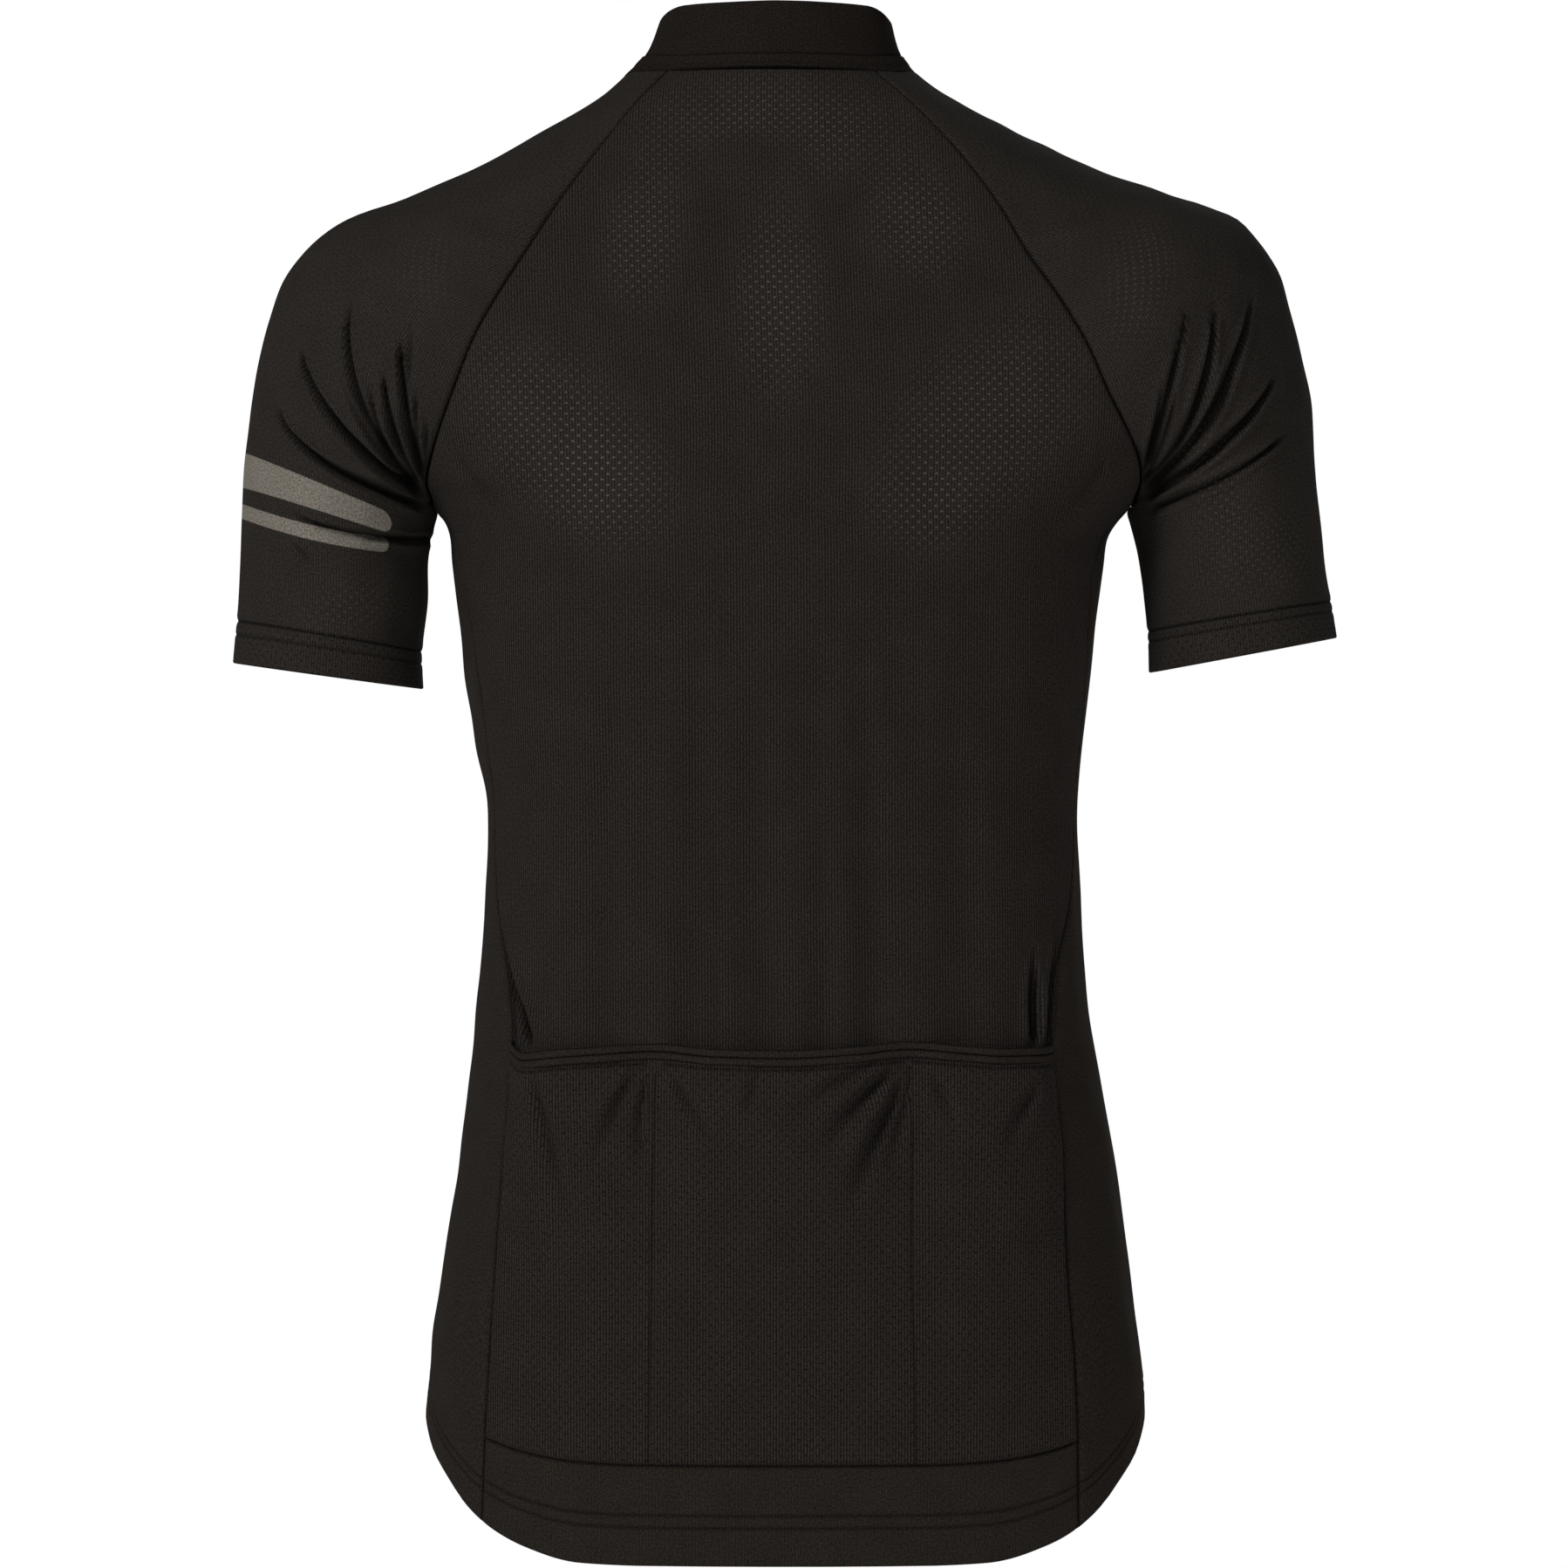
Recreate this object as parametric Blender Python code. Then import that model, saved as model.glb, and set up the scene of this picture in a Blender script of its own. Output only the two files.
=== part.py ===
"""Short-sleeved raglan cycling jersey in its worn form, hollow, with no wearer.

World frame: metres, +Z up, the front faces -Y and the wearer's left is +X. The origin is the middle of the
neck opening, at the height of the neck seam. The tables below are in millimetres and degrees.

The garment's outer face is one net of points: closed rings for the trunk, rings and then open arcs for each
sleeve, rows between the raglan seams for the yoke, and rows above the neck seam for the collar. Every cut
piece takes its own faces of that net, draws back half a seam gap along its edges and gets its thickness
inwards.
"""
import math
from collections import namedtuple

import bmesh
import bpy
from mathutils import Matrix, Vector

MM = 0.001
COLLECTION = "cycling_jersey"

# Driving dimensions, in millimetres and degrees.
KNIT = 1.5            # wall of the single knit
DOUBLED = 1.9         # wall of the doubled cuffs and the collar
BAND = 2.2            # wall of the neck seam band
SEAM_GAP = 0.3        # between two cut edges, and between a layer and what it lies on
LEAST_FLATNESS = 0.3  # limits how far a sharply folded seam's edges draw back
SQUARE = 0.14         # how much the trunk's section is squarer than an ellipse
ZIP_HALF = 4.0        # from the middle of the zip to the edge of the cloth
NECK_MIDDLE = 6.5     # the neck opening sits a little to the wearer's left
NECK_HALF = 70.5      # half width of the neck seam
BAND_RISE = 6.5       # height of the neck seam band
POCKET_WALL = 1.2
POCKET_GAPE = 8.8     # how far each pocket mouth stands off the back
POCKET_MOUTH = -490   # the trunk row that the pocket binding's top edge follows
MOUTH_SAG = 0.55      # how far each mouth hangs between the dividers, as a share of a row
BINDING_STEP = 0.5    # how far the binding stands out from the pocket panel

# Trunk sections: half widths to the left and right, depths behind and in front of the side line, and the
# angles of the side panel's seams, from the middle of the back (left, right) and of the front.
Trunk = namedtuple("Trunk", "height left right back front seam_left seam_right seam_front")
TRUNK = (
    Trunk(-760, 184.0, 184.0, 109, 109, 51.0, 48.5, 58),
    Trunk(-670, 180.0, 181.5, 111, 111, 51.0, 49.0, 58),
    Trunk(-604, 172.0, 173.5, 109, 112, 52.5, 50.0, 59),
    Trunk(-538, 162.0, 164.5, 103, 109, 55.0, 53.0, 61),
    Trunk(-490, 156.5, 155.5, 97, 106, 56.0, 55.0, 63),
    Trunk(-450, 153.0, 151.0, 91, 104, 62.0, 61.0, 66),
    Trunk(-418, 150.5, 149.5, 88, 103, 70.0, 71.0, 69),
    Trunk(-373, 149.5, 148.0, 89, 104, 74.0, 78.0, 71),
    Trunk(-340, 156.0, 150.5, 94, 107, 70.0, 79.0, 71),
    Trunk(-307, 161.0, 154.5, 99, 109, 69.0, 76.0, 72),
    Trunk(-252, 167.0, 161.0, 107, 113, 72.0, 72.0, 74),
    Trunk(-237, 168.5, 163.5, 109, 114, 77.0, 77.0, 79),
    Trunk(-230, 170.5, 166.5, 110, 114, 79.5, 79.5, 80.5),
    Trunk(-223, 177.0, 176.0, 110, 114, 82.0, 82.0, 82),
)

SETTLING_STEPS = 6    # a row's angles and heights depend on each other, and are worked out in turn

# Heights of the trunk's upper rows. Below them the rows follow the hem.
TRUNK_ROWS = (-604, -571, -538, -514, -498, -490, -470, -450, -425, -400, -373, -340, -307, -280, -252, -237)

# The hem's edge and the seam above the tail band, by the angle from the middle of the back.
Edge = namedtuple("Edge", "angle hem tail_seam")
EDGES = (
    Edge(0, -745.5, -696.5),
    Edge(20, -745.5, -696.5),
    Edge(30, -744.5, -695.5),
    Edge(40, -738.0, -692.0),
    Edge(51, -726.0, -685.0),
    Edge(63, -707.5, -673.0),
    Edge(77, -688.5, -655.0),
    Edge(90, -675.5, -644.0),
    Edge(112, -664.0, -634.0),
    Edge(145, -657.0, -628.0),
    Edge(180, -655.0, -626.0),
)

# Sleeve outlines, cuff first: the outermost point of each section, and the point under the arm, which from
# the fifth row on is the raglan seam at the back.
Outline = namedtuple("Outline", "outer_x outer_z seam_x seam_z")
LEFT_SLEEVE = (
    Outline(277.8, -300.2, 182.0, -313.2),
    Outline(275.4, -276.8, 182.6, -292.6),
    Outline(274.1, -252.1, 180.0, -269.7),
    Outline(273.2, -225.7, 179.5, -247.7),
    Outline(271.9, -199.3, 174.2, -223.5),
    Outline(270.0, -184.0, 177.0, -218.5),
    Outline(268.0, -168.0, 178.6, -212.3),
    Outline(264.5, -148.0, 176.0, -200.9),
    Outline(259.0, -127.0, 171.2, -187.0),
    Outline(248.5, -102.5, 162.4, -164.0),
    Outline(224.0, -79.0, 152.0, -139.0),
    Outline(190.0, -66.4, 140.6, -119.1),
    Outline(161.5, -54.1, 127.0, -97.5),
    Outline(135.0, -40.5, 111.0, -72.4),
    Outline(112.0, -27.7, 91.8, -45.5),
    Outline(92.0, -14.5, 73.0, -20.5),
    Outline(77.0, -2.0, 58.1, -4.4),
)
RIGHT_SLEEVE = (
    Outline(-278.4, -287.5, -184.0, -305.0),
    Outline(-275.9, -269.7, -183.5, -284.7),
    Outline(-272.0, -247.0, -180.7, -264.0),
    Outline(-269.7, -221.3, -177.8, -243.3),
    Outline(-268.0, -197.0, -172.9, -222.7),
    Outline(-266.6, -181.7, -176.5, -217.0),
    Outline(-265.0, -166.0, -178.2, -210.5),
    Outline(-261.0, -145.0, -176.5, -200.5),
    Outline(-255.5, -124.0, -171.2, -188.5),
    Outline(-248.0, -101.0, -160.3, -167.5),
    Outline(-227.0, -76.5, -149.0, -143.0),
    Outline(-195.4, -65.1, -136.0, -121.5),
    Outline(-162.8, -54.1, -120.9, -99.8),
    Outline(-133.0, -41.0, -106.0, -74.0),
    Outline(-106.0, -27.5, -86.0, -46.5),
    Outline(-81.0, -14.0, -62.5, -20.5),
    Outline(-64.0, -2.0, -45.1, -4.4),
)

# The same sleeve rows in depth: half depths of each arc, how far it sweeps from the top of the sleeve to the
# raglan seams, and the front raglan seam (to the left; the right side mirrors it).
Arc = namedtuple("Arc", "back_depth back_sweep front_depth front_sweep front_x front_z")
ARCS = (
    Arc(54.0, 180, 54.0, 180, None, None),
    Arc(55.0, 180, 55.0, 180, None, None),
    Arc(57.0, 180, 57.0, 180, None, None),
    Arc(61.0, 180, 60.0, 180, None, None),
    Arc(66.0, 165, 65.0, 165, None, None),
    Arc(66.5, 153, 66.0, 153, 176.0, -219.5),
    Arc(69.0, 138, 68.0, 138, 173.5, -213.0),
    Arc(74.0, 123, 70.0, 124, 166.5, -203.5),
    Arc(80.5, 109, 73.0, 112, 157.0, -192.0),
    Arc(88.0, 102, 77.0, 104, 144.0, -177.0),
    Arc(92.0, 98, 80.0, 98, 131.0, -160.0),
    Arc(91.0, 92, 80.0, 92, 118.5, -139.5),
    Arc(86.5, 84, 76.0, 86, 106.0, -119.0),
    Arc(82.0, 74, 70.0, 77, 93.5, -99.0),
    Arc(73.0, 66, 65.0, 66, 81.0, -79.5),
    Arc(62.0, 54.5, 63.0, 55, 68.5, -60.0),
    Arc(50.0, 43, 64.0, 45, 55.6, -40.0),
)
ARMPIT = 4            # the sleeve row where the rings open into arcs

# The yoke's rows, from the armpit to the neck: height and depth at the middle of the back and of the front,
# and the sweep of each row from its middle to the raglan seams.
Yoke = namedtuple("Yoke", "back_z back_y back_sweep front_z front_y front_sweep")
YOKE = (
    Yoke(-223.0, 110.0, 82, -223.0, 114.0, 82),
    Yoke(-217.5, 110.3, 78, -220.0, 113.8, 78),
    Yoke(-210.5, 110.5, 72, -215.0, 113.4, 72),
    Yoke(-200.5, 110.5, 65, -208.0, 112.7, 65),
    Yoke(-188.0, 110.0, 58, -200.0, 111.8, 59),
    Yoke(-165.5, 108.5, 52, -189.0, 110.0, 54),
    Yoke(-141.0, 105.5, 48, -174.0, 106.5, 50),
    Yoke(-120.0, 101.5, 45, -157.0, 101.5, 47),
    Yoke(-98.5, 95.5, 44, -140.0, 95.5, 45),
    Yoke(-73.0, 86.5, 44, -123.5, 88.5, 44),
    Yoke(-46.0, 74.5, 45, -108.0, 81.0, 44),
    Yoke(-20.5, 60.5, 46, -93.0, 72.5, 44.5),
    Yoke(-4.5, 50.0, 47, -78.0, 64.0, 45),
)

# The collar by the angle from the middle of the back: its height and how far it leans in at its top.
COLLAR_SHIFT = -2.2   # how far the collar's top has moved to the right of its foot
Stand = namedtuple("Stand", "angle rise lean")
COLLAR = (
    Stand(0, 33.5, 5.0),
    Stand(45, 32.5, 8.5),
    Stand(90, 26.0, 12.0),
    Stand(135, 29.0, 9.5),
    Stand(180, 34.0, 6.0),
)

# The collar's rows above its foot: height as a share of its rise, and its share of the lean. The first row
# is the top of the neck seam band.
STAND_ROWS = ((None, 0.42), (0.6, 0.75), (1.0, 1.0))

# Columns of each net, as fractions of a row. The pockets' dividers lie on columns of the back, where the
# mouths' gape is nothing.
BACK_COLUMNS = (-1.0, -0.86, -0.7, -0.54, -0.375, -0.2, 0.0, 0.2, 0.375, 0.54, 0.7, 0.86, 1.0)
GAPE = (0.0, 0.7, 1.0, 0.75, 0.0, 0.8, 1.0, 0.8, 0.0, 0.75, 1.0, 0.7, 0.0)
FRONT_COLUMNS = (0.0, 0.1, 0.3, 0.5, 0.7, 0.86, 1.0)
SIDE_COLUMNS = (0.0, 0.2, 0.4, 0.6, 0.8, 1.0)
ARC_COLUMNS = 14
UNDERARM_COLUMNS = 5
GAPE_ROWS = (0.0, 0.05, 0.2, 0.45, 0.72, 0.9, 1.0, 1.0)    # the pocket's rows, foot to mouth

# The zip's hard parts.
TAPE_WALL = 1.0
TAPE_EDGE = 0.5       # from the middle of the zip to each tape
TAPE_REACH = 13.0     # how far a tape runs behind the front
TAPE_SHORT = 0.12     # how far a tape stops short of the cloth's ends, as a share of a row
SLIDER = (6.6, 3.0, 9.0)            # width, depth, height
SLIDER_DROP = 1.5     # from the collar's top to the slider's top
SLIDER_SEAT = 1.7     # from the collar's face in to the slider's back
BRIDGE = (1.8, 1.0, 4.2)
PULL = (5.0, 1.2, 20.0)
PULL_EYE = (3.0, 3.0)               # the window round the bridge
PULL_HOLE = (1.8, 4.0)
PULL_BAR = 0.6                      # radius of the bar under the bridge
PULL_CLEAR = 0.5                    # between the bar and the slider
PULL_DROP = 4.6                     # from the slider's top to the bar
RETAINER = (6.4, 2.6, 7.0)
RETAINER_RISE = 3.0   # above the hem
RETAINER_SEAT = 1.2   # from the fronts' face in to its back

# Colours and finishes: base colour, roughness, metallic.
FINISHES = {
    "eyelet_knit": ((0.018, 0.016, 0.015), 0.85, 0.0),
    "plain_knit": ((0.020, 0.018, 0.017), 0.8, 0.0),
    "zip_tape": ((0.010, 0.010, 0.010), 0.9, 0.0),
    "zip_metal": ((0.030, 0.030, 0.032), 0.4, 0.8),
}


def read(table, key, value, field):
    """One column of a table at a value of its key column, smooth between the rows."""
    keys = [getattr(row, key) for row in table]
    cells = [getattr(row, field) for row in table]
    if keys[0] > keys[-1]:
        keys.reverse()
        cells.reverse()
    value = min(max(value, keys[0]), keys[-1])
    index = max(i for i in range(len(keys) - 1) if keys[i] <= value)
    span = keys[index + 1] - keys[index]
    share = (value - keys[index]) / span
    rise = (cells[index + 1] - cells[index]) / span

    def slope(i):
        if i <= 0 or i >= len(keys) - 1:
            return rise
        left = (cells[i] - cells[i - 1]) / (keys[i] - keys[i - 1])
        right = (cells[i + 1] - cells[i]) / (keys[i + 1] - keys[i])
        return 0.0 if left * right <= 0 else 2 * left * right / (left + right)

    square, cube = share ** 2, share ** 3
    return (cells[index] * (2 * cube - 3 * square + 1) + slope(index) * span * (cube - 2 * square + share)
            + cells[index + 1] * (3 * square - 2 * cube) + slope(index + 1) * span * (cube - square))


def across(angle, square=SQUARE):
    """How far out a section's point lies, as a share of its half width. Angles run from the middle."""
    return math.sin(angle) * (1 + square * math.cos(angle) ** 2)


def outward(angle, square=SQUARE):
    """How far back a section's point lies, as a share of its depth."""
    return math.cos(angle) * (1 + square * math.sin(angle) ** 2)


def trunk_point(degrees, height):
    """A point on the trunk at an angle from the middle of the back, positive to the wearer's left."""
    angle = math.radians(degrees)
    width = read(TRUNK, "height", height, "left" if degrees >= 0 else "right")
    depth = read(TRUNK, "height", height, "back" if abs(degrees) <= 90 else "front")
    return Vector((width * across(angle), depth * outward(angle), height)) * MM


def trunk_heights(degrees):
    """The heights of the trunk's rows at one angle, hem first."""
    hem = read(EDGES, "angle", abs(degrees), "hem")
    tail = read(EDGES, "angle", abs(degrees), "tail_seam")
    return [hem, (hem + tail) / 2, tail, (tail + TRUNK_ROWS[0]) / 2, *TRUNK_ROWS]


def seam_angle(side, height, face):
    """The angle of a side panel's seam, from the middle of the back, on the back or front face."""
    if face == "back":
        return side * read(TRUNK, "height", height, "seam_left" if side > 0 else "seam_right")
    return side * (180 - read(TRUNK, "height", height, "seam_front"))


def trunk_row(index, angle_of):
    """One trunk row: angle_of(height, column) gives the angle, and the height follows the hem."""
    def place(column):
        height = TRUNK[0].height / 2
        for _ in range(SETTLING_STEPS):
            angle = angle_of(height, column)
            height = trunk_heights(angle)[index]
        return trunk_point(angle, height)
    return place


def sleeve_point(side, row, degrees):
    """A point on a sleeve row. Degrees run from the top of the sleeve, positive towards the back."""
    outline = (LEFT_SLEEVE if side > 0 else RIGHT_SLEEVE)[row]
    arc = ARCS[row]
    back = degrees >= 0
    depth = arc.back_depth if back else arc.front_depth
    sweep = math.radians(arc.back_sweep if back else arc.front_sweep)
    outer = Vector((outline.outer_x, 0, outline.outer_z))
    seam = Vector((outline.seam_x, 0, outline.seam_z))
    if row <= ARMPIT:
        sweep = math.pi
    elif not back:
        seam = Vector((side * arc.front_x, 0, arc.front_z))
        if row == len(ARCS) - 1:
            seam.x = NECK_MIDDLE + side * NECK_HALF * math.cos(sweep)
    angle = math.radians(degrees)
    share = (math.cos(angle) - math.cos(sweep)) / (1 - math.cos(sweep))
    point = seam + (outer - seam) * share
    point.y = depth * math.sin(angle)
    return point * MM


def seam_point(side, row, face):
    """The raglan seam at a sleeve row, at the back or the front."""
    arc = ARCS[row]
    return sleeve_point(side, row, arc.back_sweep if face == "back" else -arc.front_sweep)


def neck_lean(height, top):
    """How far the middle line has moved towards the neck's middle, at a height below the neck seam's top."""
    share = (height - YOKE[0].back_z) / (top - YOKE[0].back_z)
    return NECK_MIDDLE * share * share * (3 - 2 * share)


def yoke_square(row):
    """The yoke's rows grow rounder towards the neck, whose seam is an ellipse."""
    return SQUARE * (1 - (row - ARMPIT) / (len(YOKE) - 1))


def yoke_point(side, row, share, face):
    """A point between the middle of the back or front (0) and the raglan seam (1), on one yoke row."""
    level = YOKE[row - ARMPIT]
    if face == "back":
        lean = neck_lean(level.back_z, YOKE[-1].back_z)
    else:
        lean = neck_lean(level.front_z, YOKE[-1].front_z)
    if face == "back":
        middle = Vector((lean, level.back_y, level.back_z)) * MM
        sweep = math.radians(level.back_sweep)
    else:
        middle = Vector((lean, -level.front_y, level.front_z)) * MM
        sweep = math.radians(level.front_sweep)
    end = seam_point(side, row, face)
    square = yoke_square(row)
    angle = sweep * share
    sideways = across(angle, square) / across(sweep, square)
    foot = outward(sweep, square)
    height = (outward(angle, square) - foot) / (1 - foot)
    return Vector((middle.x + (end.x - middle.x) * sideways, end.y + (middle.y - end.y) * height,
                   end.z + (middle.z - end.z) * height))


def zip_angle(distance, half_width, square):
    """The angle at which a section lies a distance (mm) from its middle line."""
    return distance * MM / (half_width * (1 + square))


def back_net():
    """The back, from the tail seam to the neck, as rows from the wearer's right to left."""
    rows = []
    for index in range(2, 4 + len(TRUNK_ROWS)):
        place = trunk_row(index, lambda z, c: abs(c) * seam_angle(1 if c >= 0 else -1, z, "back"))
        rows.append([place(c) for c in BACK_COLUMNS])
    for row in range(ARMPIT, len(ARCS)):
        rows.append([yoke_point(1 if c >= 0 else -1, row, abs(c), "back") for c in BACK_COLUMNS])
    return rows


def tail_net():
    """The tail band, from the hem to the seam under the pockets."""
    rows = []
    for index in range(3):
        place = trunk_row(index, lambda z, c: abs(c) * seam_angle(1 if c >= 0 else -1, z, "back"))
        rows.append([place(c) for c in BACK_COLUMNS])
    return rows


def side_net(side):
    """A side panel, from the hem to the arm; its last row is the sleeve's edge under the arm."""
    def angle_of(z, column):
        start, end = seam_angle(side, z, "back"), seam_angle(side, z, "front")
        return start + (end - start) * column

    rows = []
    for index in range(4 + len(TRUNK_ROWS)):
        place = trunk_row(index, angle_of)
        rows.append([place(c) for c in SIDE_COLUMNS])
    rows.append(underarm(side, ARMPIT))
    return rows if side > 0 else [row[::-1] for row in rows]


def underarm(side, row):
    """The points under the arm, from the back raglan seam to the front one."""
    arc = ARCS[ARMPIT]
    start, end = arc.back_sweep, 360 - arc.front_sweep
    angles = [start + (end - start) * i / UNDERARM_COLUMNS for i in range(UNDERARM_COLUMNS + 1)]
    return [sleeve_point(side, row, a if a <= 180 else a - 360) for a in angles]


def front_net(side):
    """One front, from the hem to the neck, as rows from the zip to the side seam or raglan seam."""
    rows = []
    for index in range(4 + len(TRUNK_ROWS)):
        def angle_of(z, column):
            edge = 180 - abs(seam_angle(side, z, "front"))
            half_width = abs(trunk_point(side * 90, z).x)
            start = math.degrees(zip_angle(ZIP_HALF, half_width, SQUARE))
            return side * (180 - start - (edge - start) * column)

        place = trunk_row(index, angle_of)
        rows.append([place(c) for c in FRONT_COLUMNS])
    for row in range(ARMPIT, len(ARCS)):
        level = YOKE[row - ARMPIT]
        lean = neck_lean(level.front_z, YOKE[-1].front_z) * MM
        sweep = math.radians(level.front_sweep)
        square = yoke_square(row)
        half_width = abs(seam_point(side, row, "front").x - lean) / across(sweep, square)
        start = zip_angle(ZIP_HALF, half_width, square) / sweep
        rows.append([yoke_point(side, row, start + (1 - start) * c, "front") for c in FRONT_COLUMNS])
    return rows[:] if side < 0 else [row[::-1] for row in rows]


def arc_row(side, row):
    """One sleeve row over the arm, from the front raglan seam to the back one."""
    arc = ARCS[max(row, ARMPIT)]
    half = ARC_COLUMNS // 2
    front = [-arc.front_sweep * (half - i) / half for i in range(half)]
    rear = [arc.back_sweep * i / half for i in range(half + 1)]
    return [sleeve_point(side, row, a) for a in front + rear]


def tube_row(side, row):
    """One closed sleeve ring, which starts and ends at the front raglan seam's line."""
    return arc_row(side, row) + underarm(side, row)[1:]


def neck_row():
    """The neck seam, from the left edge of the zip round the back to the right edge."""
    top = len(ARCS) - 1
    left = front_net(1)[-1][::-1]
    right = front_net(-1)[-1]
    arcs = [arc_row(1, top), arc_row(-1, top)]
    back = back_net()[-1][::-1]
    return left + arcs[0][1:] + back[1:] + arcs[1][::-1][1:] + right[::-1][1:]


def collar_rows():
    """The foot, the band's top and the collar's rows, all round the neck."""
    foot = neck_row()
    rows = [foot]
    for height, lean in STAND_ROWS:
        row = []
        for point in foot:
            around = Vector((point.x - NECK_MIDDLE * MM, point.y, 0))
            depth = YOKE[-1].back_y if around.y > 0 else YOKE[-1].front_y
            degrees = math.degrees(math.atan2(abs(around.x) / NECK_HALF, around.y / depth))
            rise = read(COLLAR, "angle", degrees, "rise") * MM
            tilt = read(COLLAR, "angle", degrees, "lean") * MM
            lift = rise * height if height else BAND_RISE * MM
            inward = -around.normalized() * tilt * lean
            if abs(around.x) < 2 * ZIP_HALF * MM and around.y < 0:
                inward.x = 0
            row.append(point + inward + Vector((COLLAR_SHIFT * lean * MM, 0, lift)))
        rows.append(row)
    return rows


class Net:
    """The garment's outer face: every piece's faces over one set of shared points."""

    def __init__(self):
        self.points = []
        self.index = {}
        self.pieces = {}
        self.normals = []

    def number(self, point):
        """The shared number of a point, new or already in the net."""
        key = tuple(round(v / MM, 2) for v in point)
        if key not in self.index:
            self.index[key] = len(self.points)
            self.points.append(point.copy())
        return self.index[key]

    def add(self, piece, rows):
        """Adds a grid of rows to a piece. Rows run upwards and each row runs so that faces point out."""
        faces = self.pieces.setdefault(piece, [])
        for low, high in zip(rows, rows[1:]):
            for i in range(len(low) - 1):
                ring = [self.number(p) for p in (low[i], low[i + 1], high[i + 1], high[i])]
                ring = [n for k, n in enumerate(ring) if n != ring[k - 1]]
                if len(ring) > 2:
                    faces.append(ring)

    def finish(self):
        """Works out each shared point's normal from all the faces round it."""
        self.normals = [Vector() for _ in self.points]
        for faces in self.pieces.values():
            for ring in faces:
                normal = ring_normal([self.points[n] for n in ring])
                for n in ring:
                    self.normals[n] += normal
        for normal in self.normals:
            normal.normalize()


def ring_normal(ring):
    """A face's normal, as long as its area."""
    total = Vector()
    for i in range(1, len(ring) - 1):
        total += (ring[i] - ring[0]).cross(ring[i + 1] - ring[0])
    return total / 2


def drawn_back(points, normals, faces, distance):
    """The points of a piece, with those on its edge moved in along its own faces.

    Where two pieces meet at a fold, each moves further, so that the gap across the seam stays the same.
    """
    sides = {}
    for ring in faces:
        for a, b in zip(ring, ring[1:] + ring[:1]):
            sides[(a, b)] = ring
    inward = {}
    edges = [(a, b) for (a, b) in sides if (b, a) not in sides]
    for a, b in edges:
        ring = sides[(a, b)]
        normal = ring_normal([points[n] for n in ring]).normalized()
        direction = normal.cross(points[b] - points[a]).normalized()
        inward.setdefault(a, []).append(direction)
        inward.setdefault(b, []).append(direction)
    moved = dict(points)
    for n, directions in inward.items():
        first, last = directions[0], directions[-1]
        mitre = (first + last) / (1 + max(first.dot(last), -0.5))
        rise = (first + last).normalized().dot(normals[n])
        flatness = math.sqrt(max(1 - rise * rise, LEAST_FLATNESS ** 2))
        moved[n] = points[n] + mitre * distance / flatness
    return moved, edges


def wall_mesh(name, points, normals, faces, thickness, gap=SEAM_GAP):
    """A closed wall under a piece's faces, with its edges drawn back by half the gap."""
    outer, edges = drawn_back(points, normals, faces, gap / 2 * MM)
    numbers = sorted(outer)
    place = {n: i for i, n in enumerate(numbers)}
    count = len(numbers)
    vertices = [outer[n] for n in numbers]
    vertices += [outer[n] - normals[n] * thickness * MM for n in numbers]
    solid = [[place[n] for n in ring] for ring in faces]
    solid += [[place[n] + count for n in reversed(ring)] for ring in faces]
    solid += [[place[b], place[a], place[a] + count, place[b] + count] for a, b in edges]
    mesh = bpy.data.meshes.new(name)
    mesh.from_pydata([tuple(v) for v in vertices], [], solid)
    return mesh


def triangulated(mesh):
    """Splits a mesh's faces into triangles, so that every tool reads the same solid."""
    work = bmesh.new()
    work.from_mesh(mesh)
    bmesh.ops.triangulate(work, faces=work.faces)
    work.to_mesh(mesh)
    work.free()


def material(finish):
    """The finish's material, made once."""
    found = bpy.data.materials.get(finish)
    if found:
        return found
    colour, roughness, metallic = FINISHES[finish]
    made = bpy.data.materials.new(finish)
    made.use_nodes = True
    shader = made.node_tree.nodes["Principled BSDF"]
    shader.inputs["Base Color"].default_value = (*colour, 1.0)
    shader.inputs["Roughness"].default_value = roughness
    shader.inputs["Metallic"].default_value = metallic
    return made


def put(mesh, name, finish, collection):
    """Puts a mesh into the collection as the named piece."""
    piece = bpy.data.objects.new(name, mesh)
    mesh.materials.append(material(finish))
    collection.objects.link(piece)
    return piece


def cloth_piece(net, name, finish, thickness, collection):
    """One cut piece of the net, as a wall."""
    faces = net.pieces[name]
    used = {n for ring in faces for n in ring}
    points = {n: net.points[n] for n in used}
    normals = {n: net.normals[n] for n in used}
    mesh = wall_mesh(name, points, normals, faces, thickness)
    triangulated(mesh)
    return put(mesh, name, finish, collection)


def layer_piece(name, rows, normals, thickness, finish, collection):
    """A wall over a grid of points that lies on, or behind, a panel; the grid is its outer face."""
    points, faces = {}, []
    width = len(rows[0])
    for r, row in enumerate(rows):
        for c, point in enumerate(row):
            points[r * width + c] = point
    for r in range(len(rows) - 1):
        for c in range(width - 1):
            start = r * width + c
            faces.append([start, start + 1, start + width + 1, start + width])
    flat = {r * width + c: n for r, row in enumerate(normals) for c, n in enumerate(row)}
    mesh = wall_mesh(name, points, flat, faces, thickness)
    triangulated(mesh)
    return put(mesh, name, finish, collection)


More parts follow.
